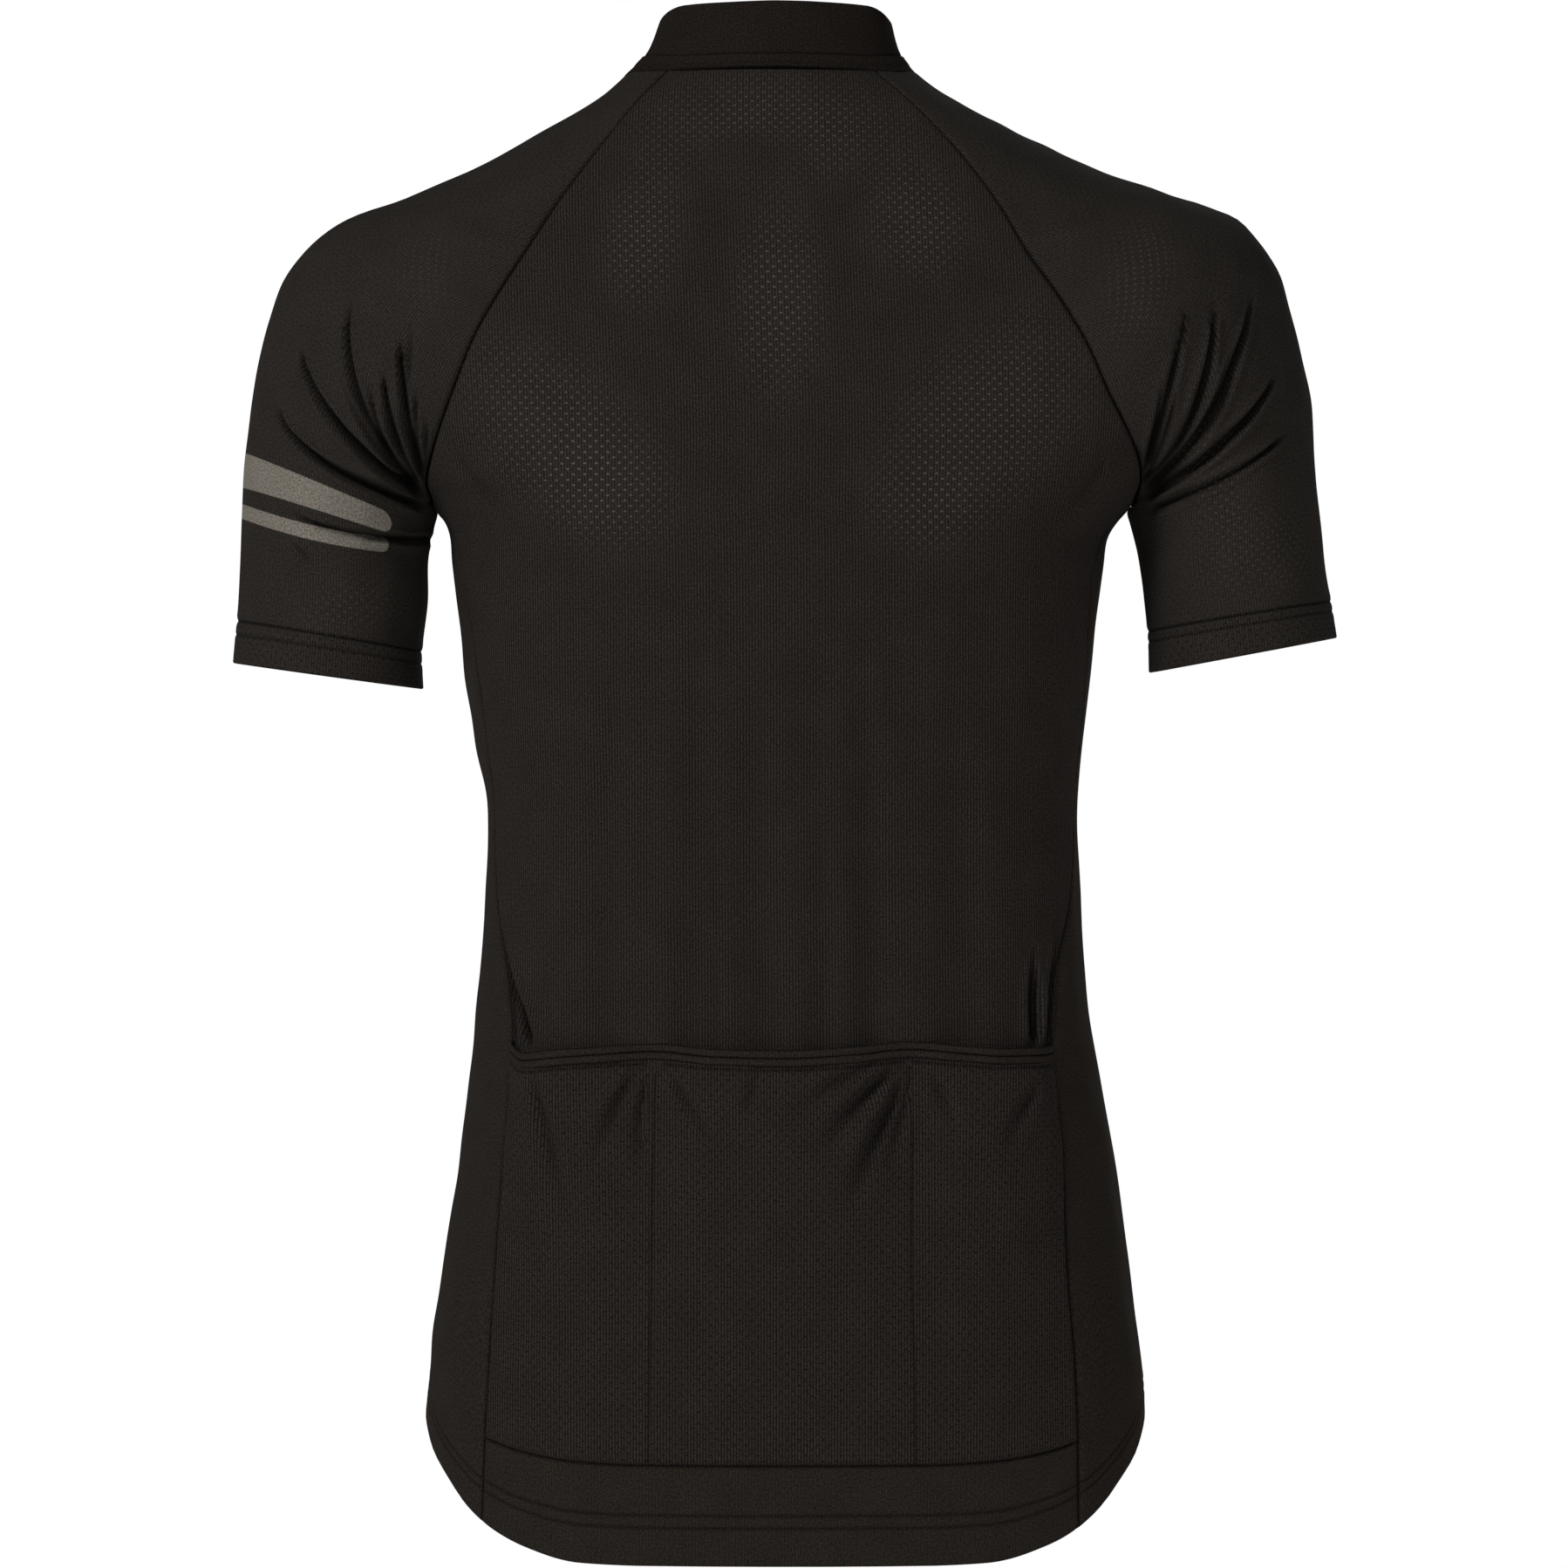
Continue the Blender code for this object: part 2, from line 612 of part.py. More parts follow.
def build_net():
    """The whole garment's net, piece by piece."""
    net = Net()
    net.add("back_panel", [row[::-1] for row in back_net()])
    net.add("tail_band", [row[::-1] for row in tail_net()])
    for side, word in ((1, "left"), (-1, "right")):
        net.add("side_panel_" + word, [row[::-1] for row in side_net(side)])
        net.add("front_" + word, [row[::-1] for row in front_net(side)])
        tubes = [tube_row(side, row) for row in range(ARMPIT + 1)]
        arcs = [arc_row(side, row) for row in range(ARMPIT, len(ARCS))]
        if side < 0:
            tubes = [row[::-1] for row in tubes]
            arcs = [row[::-1] for row in arcs]
        net.add("cuff_" + word, tubes[:2])
        net.add("sleeve_" + word, tubes[1:])
        net.add("sleeve_" + word, arcs)
    rows = collar_rows()
    net.add("neck_band", rows[:2])
    net.add("collar", rows[1:])
    net.finish()
    return net


def build_pocket(net, collection):
    """The pocket panel and its binding, made from the back's points and moved out."""
    back = [row[::-1] for row in back_net()]
    mouth_row = 2 + TRUNK_ROWS.index(POCKET_MOUTH)
    gape = GAPE[::-1]
    rows, normals = [], []
    for r in range(mouth_row + 1):
        normals.append([net.normals[net.number(p)] for p in back[r]])
        rows.append(back[r])
    sag = [MOUTH_SAG * g for g in gape]
    lower = [a.lerp(b, s * 0.5) for a, b, s in zip(rows[-2], rows[-3], sag)]
    upper = [a.lerp(b, s) for a, b, s in zip(rows[-1], rows[-2], sag)]
    rows[-2], rows[-1] = lower, upper
    moved = []
    for r, row in enumerate(rows):
        lift = [SEAM_GAP + POCKET_WALL + POCKET_GAPE * g * GAPE_ROWS[r] for g in gape]
        moved.append([p + n * h * MM for p, n, h in zip(row, normals[r], lift)])
    layer_piece("pocket_panel", moved[:-1], normals[:-1], POCKET_WALL, "eyelet_knit", collection)
    strip = []
    for row, row_normals in zip(moved[-2:], normals[-2:]):
        strip.append([p + n * BINDING_STEP * MM for p, n in zip(row, row_normals)])
    layer_piece("pocket_binding", strip, normals[-2:], POCKET_WALL + BINDING_STEP, "plain_knit", collection)


def zip_line(net):
    """Points and normals at the edge of the zip, from the hem to the collar, and towards the side."""
    lines = {}
    stand = collar_rows()[1:]
    for side in (1, -1):
        front = [row if side < 0 else row[::-1] for row in front_net(side)]
        grid = [(row[0], row[1]) for row in front]
        grid += [(row[0], row[1]) if side > 0 else (row[-1], row[-2]) for row in stand]
        lines[side] = [(a, b, net.normals[net.number(a)], net.normals[net.number(b)]) for a, b in grid]
    return lines


def build_tapes(net, collection):
    """The zip's two tapes, which lie behind the edges of the fronts and the collar."""
    for side, word in ((1, "left"), (-1, "right")):
        rows, normals = [], []
        line = zip_line(net)[side]
        for number, (edge, inner, edge_normal, inner_normal) in enumerate(line):
            across_row = (inner - edge).normalized()
            reach = (inner - edge).length / MM
            row, row_normals = [], []
            for distance in (TAPE_EDGE - ZIP_HALF, 0.0, min(TAPE_REACH - ZIP_HALF, reach)):
                share = max(distance, 0.0) / reach
                normal = edge_normal.lerp(inner_normal, share).normalized()
                depth = BAND if number >= len(line) - 4 else KNIT
                row.append(edge + across_row * distance * MM - normal * (depth + SEAM_GAP) * MM)
                row_normals.append(normal)
            rows.append(row if side < 0 else row[::-1])
            normals.append(row_normals if side < 0 else row_normals[::-1])
        rows[0] = [a.lerp(b, TAPE_SHORT) for a, b in zip(rows[0], rows[1])]
        rows[-1] = [a.lerp(b, TAPE_SHORT) for a, b in zip(rows[-1], rows[-2])]
        layer_piece("zip_tape_" + word, [r[::-1] for r in rows], [n[::-1] for n in normals],
                    TAPE_WALL, "zip_tape", collection)


def block(size, centre, bevel):
    """A box with rounded edges, in millimetres."""
    work = bmesh.new()
    bmesh.ops.create_cube(work, size=1.0)
    for vertex in work.verts:
        vertex.co = Vector(centre) + Vector([c * s for c, s in zip(vertex.co, size)])
    if bevel:
        bmesh.ops.bevel(work, geom=work.edges[:], offset=bevel, segments=2, profile=0.6, affect="EDGES")
    return work


def mesh_of(work, name):
    """The mesh of a block, from millimetres to metres."""
    mesh = bpy.data.meshes.new(name)
    bmesh.ops.scale(work, vec=(MM, MM, MM), verts=work.verts)
    work.to_mesh(mesh)
    work.free()
    return mesh


def hard_piece(name, first, others, operation, frame, collection):
    """One metal piece from a block and the blocks that are joined to it or cut from it, in one frame."""
    piece = put(mesh_of(first, name), name, "zip_metal", collection)
    piece.matrix_world = frame
    for number, other in enumerate(others):
        tool_name = "{}_tool_{}".format(name, number)
        tool = bpy.data.objects.new(tool_name, mesh_of(other, tool_name))
        tool.matrix_world = frame
        tool.hide_render = True
        tool.display_type = "WIRE"
        bpy.data.collections[COLLECTION + "_cutters"].objects.link(tool)
        modifier = piece.modifiers.new(tool_name, "BOOLEAN")
        modifier.operation = operation
        modifier.object = tool


def slider_frame(lines):
    """The frame of the pull's hinge: its origin on the axis, +X along it, -Z down the collar's front."""
    top = (lines[1][-1][0] + lines[-1][-1][0]) / 2
    below = (lines[1][-2][0] + lines[-1][-2][0]) / 2
    down = (below - top).normalized()
    tilt = math.atan2(-down.y, -down.z)
    turn = Matrix.Rotation(-tilt, 4, "X")
    behind_axis = PULL_CLEAR + PULL_BAR + SLIDER[1]
    axis = top + turn.to_3x3() @ Vector((0, SLIDER_SEAT - behind_axis, -PULL_DROP - SLIDER_DROP)) * MM
    return Matrix.Translation(axis) @ turn


def build_slider(lines, collection):
    """The slider at the top of the closed zip, and its hinged pull tab."""
    _, depth, height = SLIDER
    frame = slider_frame(lines)
    inner = PULL_BAR + PULL_CLEAR
    body = block(SLIDER, (0, inner + depth / 2, PULL_DROP - height / 2), 0.6)
    across_bridge, thick, _ = BRIDGE
    tools = [block((across_bridge, thick, 2 * (inner + thick)), (0, -inner - thick / 2, 0), 0.3)]
    leg = 2 * inner + thick + 0.6
    for way in (1, -1):
        middle = (0, leg / 2 - inner - thick + 0.1, way * (inner + thick / 2))
        tools.append(block((across_bridge - 0.1, leg, thick - 0.1), middle, 0))
    hard_piece("zip_slider", body, tools, "UNION", frame, collection)

    _, thin, long = PULL
    plate = block(PULL, (0, 0, PULL_BAR - long / 2), 0.25)
    eye_wide, eye_long = PULL_EYE
    cuts = [block((eye_wide, thin * 3, eye_long), (0, 0, -PULL_BAR - eye_long / 2), 0),
            block((PULL_HOLE[0], thin * 3, PULL_HOLE[1]), (0, 0, PULL_BAR - long + PULL_HOLE[1]), 0)]
    hard_piece("zip_pull", plate, cuts, "DIFFERENCE", frame, collection)


def build_retainer(lines, collection):
    """The retainer box at the foot of the zip."""
    foot = (lines[1][0][0] + lines[-1][0][0]) / 2
    _, depth, height = RETAINER
    middle = foot + Vector((0, RETAINER_SEAT - depth / 2, RETAINER_RISE + height / 2)) * MM
    hard_piece("zip_retainer", block(RETAINER, (0, 0, 0), 0.5), [], "UNION", Matrix.Translation(middle),
               collection)


def main():
    """Clears the scene and builds the jersey."""
    for item in list(bpy.data.objects):
        bpy.data.objects.remove(item, do_unlink=True)
    collection = bpy.data.collections.new(COLLECTION)
    cutters = bpy.data.collections.new(COLLECTION + "_cutters")
    bpy.context.scene.collection.children.link(collection)
    bpy.context.scene.collection.children.link(cutters)
    net = build_net()
    cloth_piece(net, "back_panel", "eyelet_knit", KNIT, collection)
    cloth_piece(net, "tail_band", "plain_knit", DOUBLED, collection)
    for word in ("left", "right"):
        cloth_piece(net, "side_panel_" + word, "plain_knit", KNIT, collection)
        cloth_piece(net, "front_" + word, "plain_knit", KNIT, collection)
        cloth_piece(net, "sleeve_" + word, "eyelet_knit", KNIT, collection)
        cloth_piece(net, "cuff_" + word, "eyelet_knit", DOUBLED, collection)
    cloth_piece(net, "neck_band", "plain_knit", BAND, collection)
    cloth_piece(net, "collar", "plain_knit", DOUBLED, collection)
    build_pocket(net, collection)
    build_tapes(net, collection)
    lines = zip_line(net)
    build_slider(lines, collection)
    build_retainer(lines, collection)


main()
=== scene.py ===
"""Looks of a short-sleeved raglan cycling jersey in its worn, hollow form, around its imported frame.

Frame: metres, +Z up, the front faces -Y, the wearer's left is +X, and the origin is the middle of the neck
opening at the height of the neck seam. The tables are in millimetres and degrees.

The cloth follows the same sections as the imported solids. Each cut piece is lofted finely through them, gets
its creases, seam grooves and turned edges, and stands for its solid. The zip's hard parts are modelled on
their solids' places. Threads and zip teeth are single forms, repeated along lines on the cloth.
"""
import logging
import math
from dataclasses import dataclass
from enum import Enum
from typing import Any, Callable, NamedTuple, Optional, Sequence

import bpy
import numpy as np
from mathutils import Matrix, Vector

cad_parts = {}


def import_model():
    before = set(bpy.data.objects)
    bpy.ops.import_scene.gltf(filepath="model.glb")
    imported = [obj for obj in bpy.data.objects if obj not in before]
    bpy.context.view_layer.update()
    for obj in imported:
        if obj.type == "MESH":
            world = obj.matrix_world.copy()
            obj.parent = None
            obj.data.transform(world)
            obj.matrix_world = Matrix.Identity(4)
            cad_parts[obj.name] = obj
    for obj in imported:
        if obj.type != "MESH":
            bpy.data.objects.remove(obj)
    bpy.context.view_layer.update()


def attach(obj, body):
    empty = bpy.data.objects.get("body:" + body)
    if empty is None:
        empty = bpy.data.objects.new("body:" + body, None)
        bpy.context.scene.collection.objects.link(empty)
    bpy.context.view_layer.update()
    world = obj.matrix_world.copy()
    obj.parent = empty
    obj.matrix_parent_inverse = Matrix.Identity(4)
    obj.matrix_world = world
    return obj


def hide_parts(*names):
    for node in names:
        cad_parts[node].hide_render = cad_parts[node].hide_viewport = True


LOG = logging.getLogger("jersey")
Array = np.ndarray
Piece = bpy.types.Object
Material = bpy.types.Material
Tree = bpy.types.NodeTree
Socket = bpy.types.NodeSocket
Span = tuple[float, float]
MM = 0.001
CLOTH_BODY = "jersey"


class Side(Enum):
    """A side of the wearer."""

    LEFT = 1
    RIGHT = -1

    @property
    def word(self) -> str:
        """The side's name in piece names."""
        return self.name.lower()


class Edge(Enum):
    """An edge of a grid of cloth points: its first or last column, or its first or last row."""

    START = "start"
    END = "end"
    FOOT = "foot"
    HEAD = "head"


# ---------------------------------------------------------------------------------------------------------
# The worn shape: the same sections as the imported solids.
# ---------------------------------------------------------------------------------------------------------

SQUARE = 0.14           # how much the trunk's section is squarer than an ellipse
ZIP_HALF = 4.0          # from the middle of the zip to the edge of the cloth
NECK_MIDDLE = 6.5       # the neck opening sits a little to the wearer's left
NECK_HALF = 70.5        # half width of the neck seam
BAND_RISE = 6.5         # height of the neck seam band
SETTLING_STEPS = 6      # a row's angles and heights depend on each other, and are worked out in turn
ARMPIT = 4              # the sleeve row where the rings open into arcs
TAIL_ROW = 2            # the trunk row of the seam above the tail band
MOUTH_ROW = 9           # the trunk row that the pockets' mouths follow


class Trunk(NamedTuple):
    """A trunk section: half widths, depths and the angles of the side panels' seams."""

    height: float
    left: float
    right: float
    back: float
    front: float
    seam_left: float
    seam_right: float
    seam_front: float


TRUNK = (
    Trunk(-760, 184.0, 184.0, 109, 109, 51.0, 48.5, 58),
    Trunk(-670, 180.0, 181.5, 111, 111, 51.0, 49.0, 58),
    Trunk(-604, 172.0, 173.5, 109, 112, 52.5, 50.0, 59),
    Trunk(-538, 162.0, 164.5, 103, 109, 55.0, 53.0, 61),
    Trunk(-490, 156.5, 155.5, 97, 106, 56.0, 55.0, 63),
    Trunk(-450, 153.0, 151.0, 91, 104, 62.0, 61.0, 66),
    Trunk(-418, 150.5, 149.5, 88, 103, 70.0, 71.0, 69),
    Trunk(-373, 149.5, 148.0, 89, 104, 74.0, 78.0, 71),
    Trunk(-340, 156.0, 150.5, 94, 107, 70.0, 79.0, 71),
    Trunk(-307, 161.0, 154.5, 99, 109, 69.0, 76.0, 72),
    Trunk(-252, 167.0, 161.0, 107, 113, 72.0, 72.0, 74),
    Trunk(-237, 168.5, 163.5, 109, 114, 77.0, 77.0, 79),
    Trunk(-230, 170.5, 166.5, 110, 114, 79.5, 79.5, 80.5),
    Trunk(-223, 177.0, 176.0, 110, 114, 82.0, 82.0, 82),
)
TRUNK_ROWS = (-604, -571, -538, -514, -498, -490, -470, -450, -425, -400, -373, -340, -307, -280, -252, -237)


class HemEdge(NamedTuple):
    """The hem's edge and the seam above the tail band, by the angle from the middle of the back."""

    angle: float
    hem: float
    tail_seam: float


EDGES = (
    HemEdge(0, -745.5, -696.5),
    HemEdge(20, -745.5, -696.5),
    HemEdge(30, -744.5, -695.5),
    HemEdge(40, -738.0, -692.0),
    HemEdge(51, -726.0, -685.0),
    HemEdge(63, -707.5, -673.0),
    HemEdge(77, -688.5, -655.0),
    HemEdge(90, -675.5, -644.0),
    HemEdge(112, -664.0, -634.0),
    HemEdge(145, -657.0, -628.0),
    HemEdge(180, -655.0, -626.0),
)


class Outline(NamedTuple):
    """A sleeve section, cuff first: its outermost point and its point under the arm or at the back seam."""

    outer_x: float
    outer_z: float
    seam_x: float
    seam_z: float


SLEEVES = {
    Side.LEFT: (
        Outline(277.8, -300.2, 182.0, -313.2),
        Outline(275.4, -276.8, 182.6, -292.6),
        Outline(274.1, -252.1, 180.0, -269.7),
        Outline(273.2, -225.7, 179.5, -247.7),
        Outline(271.9, -199.3, 174.2, -223.5),
        Outline(270.0, -184.0, 177.0, -218.5),
        Outline(268.0, -168.0, 178.6, -212.3),
        Outline(264.5, -148.0, 176.0, -200.9),
        Outline(259.0, -127.0, 171.2, -187.0),
        Outline(248.5, -102.5, 162.4, -164.0),
        Outline(224.0, -79.0, 152.0, -139.0),
        Outline(190.0, -66.4, 140.6, -119.1),
        Outline(161.5, -54.1, 127.0, -97.5),
        Outline(135.0, -40.5, 111.0, -72.4),
        Outline(112.0, -27.7, 91.8, -45.5),
        Outline(92.0, -14.5, 73.0, -20.5),
        Outline(77.0, -2.0, 58.1, -4.4),
    ),
    Side.RIGHT: (
        Outline(-278.4, -287.5, -184.0, -305.0),
        Outline(-275.9, -269.7, -183.5, -284.7),
        Outline(-272.0, -247.0, -180.7, -264.0),
        Outline(-269.7, -221.3, -177.8, -243.3),
        Outline(-268.0, -197.0, -172.9, -222.7),
        Outline(-266.6, -181.7, -176.5, -217.0),
        Outline(-265.0, -166.0, -178.2, -210.5),
        Outline(-261.0, -145.0, -176.5, -200.5),
        Outline(-255.5, -124.0, -171.2, -188.5),
        Outline(-248.0, -101.0, -160.3, -167.5),
        Outline(-227.0, -76.5, -149.0, -143.0),
        Outline(-195.4, -65.1, -136.0, -121.5),
        Outline(-162.8, -54.1, -120.9, -99.8),
        Outline(-133.0, -41.0, -106.0, -74.0),
        Outline(-106.0, -27.5, -86.0, -46.5),
        Outline(-81.0, -14.0, -62.5, -20.5),
        Outline(-64.0, -2.0, -45.1, -4.4),
    ),
}


class Arc(NamedTuple):
    """A sleeve row in depth: half depths, sweeps to the raglan seams, and the front raglan seam."""

    back_depth: float
    back_sweep: float
    front_depth: float
    front_sweep: float
    front_x: float
    front_z: float


ARCS = (
    Arc(54.0, 180, 54.0, 180, 0, 0),
    Arc(55.0, 180, 55.0, 180, 0, 0),
    Arc(57.0, 180, 57.0, 180, 0, 0),
    Arc(61.0, 180, 60.0, 180, 0, 0),
    Arc(66.0, 165, 65.0, 165, 0, 0),
    Arc(66.5, 153, 66.0, 153, 176.0, -219.5),
    Arc(69.0, 138, 68.0, 138, 173.5, -213.0),
    Arc(74.0, 123, 70.0, 124, 166.5, -203.5),
    Arc(80.5, 109, 73.0, 112, 157.0, -192.0),
    Arc(88.0, 102, 77.0, 104, 144.0, -177.0),
    Arc(92.0, 98, 80.0, 98, 131.0, -160.0),
    Arc(91.0, 92, 80.0, 92, 118.5, -139.5),
    Arc(86.5, 84, 76.0, 86, 106.0, -119.0),
    Arc(82.0, 74, 70.0, 77, 93.5, -99.0),
    Arc(73.0, 66, 65.0, 66, 81.0, -79.5),
    Arc(62.0, 54.5, 63.0, 55, 68.5, -60.0),
    Arc(50.0, 43, 64.0, 45, 55.6, -40.0),
)


class Yoke(NamedTuple):
    """A row between the raglan seams: height, depth and sweep at the back and at the front."""

    back_z: float
    back_y: float
    back_sweep: float
    front_z: float
    front_y: float
    front_sweep: float


YOKE = (
    Yoke(-223.0, 110.0, 82, -223.0, 114.0, 82),
    Yoke(-217.5, 110.3, 78, -220.0, 113.8, 78),
    Yoke(-210.5, 110.5, 72, -215.0, 113.4, 72),
    Yoke(-200.5, 110.5, 65, -208.0, 112.7, 65),
    Yoke(-188.0, 110.0, 58, -200.0, 111.8, 59),
    Yoke(-165.5, 108.5, 52, -189.0, 110.0, 54),
    Yoke(-141.0, 105.5, 48, -174.0, 106.5, 50),
    Yoke(-120.0, 101.5, 45, -157.0, 101.5, 47),
    Yoke(-98.5, 95.5, 44, -140.0, 95.5, 45),
    Yoke(-73.0, 86.5, 44, -123.5, 88.5, 44),
    Yoke(-46.0, 74.5, 45, -108.0, 81.0, 44),
    Yoke(-20.5, 60.5, 46, -93.0, 72.5, 44.5),
    Yoke(-4.5, 50.0, 47, -78.0, 64.0, 45),
)


class Stand(NamedTuple):
    """The collar at an angle from the middle of the back: its height and its lean at the top."""

    angle: float
    rise: float
    lean: float


COLLAR_SHIFT = -2.2
COLLAR = (
    Stand(0, 33.5, 5.0),
    Stand(45, 32.5, 8.5),
    Stand(90, 23.5, 12.0),
    Stand(135, 27.5, 9.5),
    Stand(180, 34.0, 6.0),
)
COLLAR_ROWS = ((0.6, 0.75), (1.0, 1.0))
BAND_LEAN = 0.42


def read(table: Sequence[NamedTuple], key: str, value: Array, name: str) -> Array:
    """Reads one column of a table, smooth and without overshoot between the rows.

    Args:
        table: rows with named columns.
        key: the column that is looked up.
        value: the values to look up.
        name: the column that is read.

    Returns:
        The column's value at each looked-up value.
    """
    keys = np.array([getattr(row, key) for row in table], float)
    cells = np.array([getattr(row, name) for row in table], float)
    order = np.argsort(keys)
    keys, cells = keys[order], cells[order]
    value = np.clip(value, keys[0], keys[-1])
    span = np.diff(keys)
    rise = np.diff(cells) / span
    slope = np.concatenate([rise[:1], np.zeros(len(rise) - 1), rise[-1:]])
    same_way = np.flatnonzero(rise[:-1] * rise[1:] > 0)
    slope[same_way + 1] = 2 * rise[same_way] * rise[same_way + 1] / (rise[same_way] + rise[same_way + 1])
    index = np.clip(np.searchsorted(keys, value, side="right") - 1, 0, len(span) - 1)
    share = (value - keys[index]) / span[index]
    return hermite(cells[index], slope[index] * span[index], cells[index + 1],
                   slope[index + 1] * span[index], share)


def hermite(low: Array, leave: Array, high: Array, arrive: Array, share: Array) -> Array:
    """The cubic from low to high with the given slopes, at a share of the way."""
    square, cube = share ** 2, share ** 3
    return (low * (2 * cube - 3 * square + 1) + leave * (cube - 2 * square + share)
            + high * (3 * square - 2 * cube) + arrive * (cube - square))


def smooth(value: Array) -> Array:
    """A soft step from 0 to 1."""
    value = np.clip(value, 0, 1)
    return value * value * (3 - 2 * value)


def across(angle: Array, square: float = SQUARE) -> Array:
    """How far sideways a section's point lies, as a share of its half width."""
    return np.sin(angle) * (1 + square * np.cos(angle) ** 2)


def outward(angle: Array, square: float = SQUARE) -> Array:
    """How far back a section's point lies, as a share of its depth."""
    return np.cos(angle) * (1 + square * np.sin(angle) ** 2)


def loft(control: Array, knots: Array, levels: Array) -> Array:
    """Smooth rows through control rows.

    Args:
        control: rows x columns x 3 points.
        knots: the level of each control row.
        levels: the levels wanted, one for each new row, or rows x columns.

    Returns:
        New rows x columns x 3 points.
    """
    step = np.diff(knots)[:, None, None]
    rise = np.diff(control, axis=0) / step
    slope = np.concatenate([rise[:1], (rise[:-1] * step[1:] + rise[1:] * step[:-1]) / (step[1:] + step[:-1]),
                            rise[-1:]])
    levels = np.broadcast_to(levels.reshape(len(levels), -1), (len(levels), control.shape[1]))
    index = np.clip(np.searchsorted(knots, levels, side="right") - 1, 0, len(knots) - 2)
    column = np.broadcast_to(np.arange(control.shape[1]), index.shape)
    span = np.diff(knots)[index][..., None]
    share = (levels - knots[index])[..., None] / span
    return hermite(control[index, column], slope[index, column] * span, control[index + 1, column],
                   slope[index + 1, column] * span, share)


def steps_of(row: Array) -> Array:
    """The distance of each point of a line from its start, along it."""
    return np.concatenate([[0.0], np.cumsum(np.linalg.norm(np.diff(row, axis=0), axis=1))])


def resample(line: Array, run: Array, at: Array) -> Array:
    """The points of a line at distances along it, where run gives the distances of its own points."""
    return np.stack([np.interp(at, run, line[:, k]) for k in range(3)], -1)


class Form:
    """The worn shape's control rows. Every piece is lofted through them by level, so that seams meet."""

    close, fine, middling, coarse = 1.1, 1.3, 1.7, 4.0
    beside_seam = np.array([0.0, 0.7, 1.4, 2.3, 3.6, 4.9, 5.5, 6.1, 7.8])

    def __init__(self) -> None:
        """Works out the control rows' levels and the levels of the fine rows."""
        seam = self.back(np.array([1.0]))[:, 0]
        self.knots = steps_of(seam)
        self.armpit = len(TRUNK_ROWS) + ARMPIT
        tail, armpit, top = self.knots[TAIL_ROW], self.knots[self.armpit], self.knots[-1]
        ending = [(top - 7, self.fine), (top, 0)]
        self.levels = self.stations([(0, self.fine), (tail, self.fine), (tail + 8, self.coarse),
                                     (armpit - 7, self.fine), (armpit, self.fine),
                                     (armpit + 7, self.coarse), *ending])
        self.cap_levels = self.stations([(armpit, self.close), (armpit + 92, self.coarse), *ending])

    @staticmethod
    def stations(marks: Sequence[tuple[float, float]]) -> Array:
        """Levels from mark to mark, each mark with the step that follows it."""
        rows = [np.linspace(low, high, max(2, round((high - low) / step) + 1))[:-1]
                for (low, step), (high, _) in zip(marks, marks[1:]) if high > low]
        return np.concatenate([*rows, [marks[-1][0]]])

    def spread(self, width: float, step: float, border: float = 0.0) -> Array:
        """Columns from 0 to 1 over a width: closest at its edges, which are sewn, and close in borders."""
        near = self.beside_seam
        edge = near[-1]
        middle = self.stations([(edge, self.middling), (edge + border, step),
                                (width - edge - border, self.middling), (width - edge, 0)])
        return np.concatenate([near[:-1], middle, width - near[-2::-1]]) / width

    @staticmethod
    def trunk(degrees: Array, height: Array) -> Array:
        """Points on the trunk at angles from the middle of the back, positive to the wearer's left."""
        angle = np.radians(degrees)
        width = np.where(degrees >= 0, read(TRUNK, "height", height, "left"),
                         read(TRUNK, "height", height, "right"))
        depth = np.where(np.abs(degrees) <= 90, read(TRUNK, "height", height, "back"),
                         read(TRUNK, "height", height, "front"))
        return np.stack([width * across(angle), depth * outward(angle), height], -1)

    @staticmethod
    def trunk_height(row: int, degrees: Array) -> Array:
        """The height of a trunk row at angles from the middle of the back."""
        hem = read(EDGES, "angle", np.abs(degrees), "hem")
        tail = read(EDGES, "angle", np.abs(degrees), "tail_seam")
        low = (hem, (hem + tail) / 2, tail, (tail + TRUNK_ROWS[0]) / 2)
        return low[row] if row < len(low) else np.full_like(hem, TRUNK_ROWS[row - len(low)])

    def trunk_rows(self, columns: Array, angle_of: Callable[[Array, Array], Array]) -> Array:
        """All trunk rows, where angle_of gives the columns' angles at their heights."""
        rows = []
        for row in range(len(TRUNK_ROWS) + 4):
            height = np.full(len(columns), TRUNK[0].height / 2)
            for _ in range(SETTLING_STEPS):
                angle = angle_of(height, columns)
                height = self.trunk_height(row, angle)
            rows.append(self.trunk(angle, height))
        return np.array(rows)

    @staticmethod
    def sleeve(side: Side, row: int, degrees: Array) -> Array:
        """Points on a sleeve row. Degrees run from the sleeve's top, positive towards the back."""
        outline, arc = SLEEVES[side][row], ARCS[row]
        back = degrees >= 0
        depth = np.where(back, arc.back_depth, arc.front_depth)
        sweep = np.radians(np.where(back, arc.back_sweep, arc.front_sweep))
        seam_x, seam_z = np.full(len(back), outline.seam_x), np.full(len(back), outline.seam_z)
        if row <= ARMPIT:
            sweep = np.full(len(back), math.pi)
        else:
            front_x = side.value * arc.front_x
            if row == len(ARCS) - 1:
                front_x = NECK_MIDDLE + side.value * NECK_HALF * math.cos(math.radians(arc.front_sweep))
            seam_x = np.where(back, outline.seam_x, front_x)
            seam_z = np.where(back, outline.seam_z, arc.front_z)
        angle = np.radians(degrees)
        share = (np.cos(angle) - np.cos(sweep)) / (1 - np.cos(sweep))
        return np.stack([seam_x + (outline.outer_x - seam_x) * share, depth * np.sin(angle),
                         seam_z + (outline.outer_z - seam_z) * share], -1)

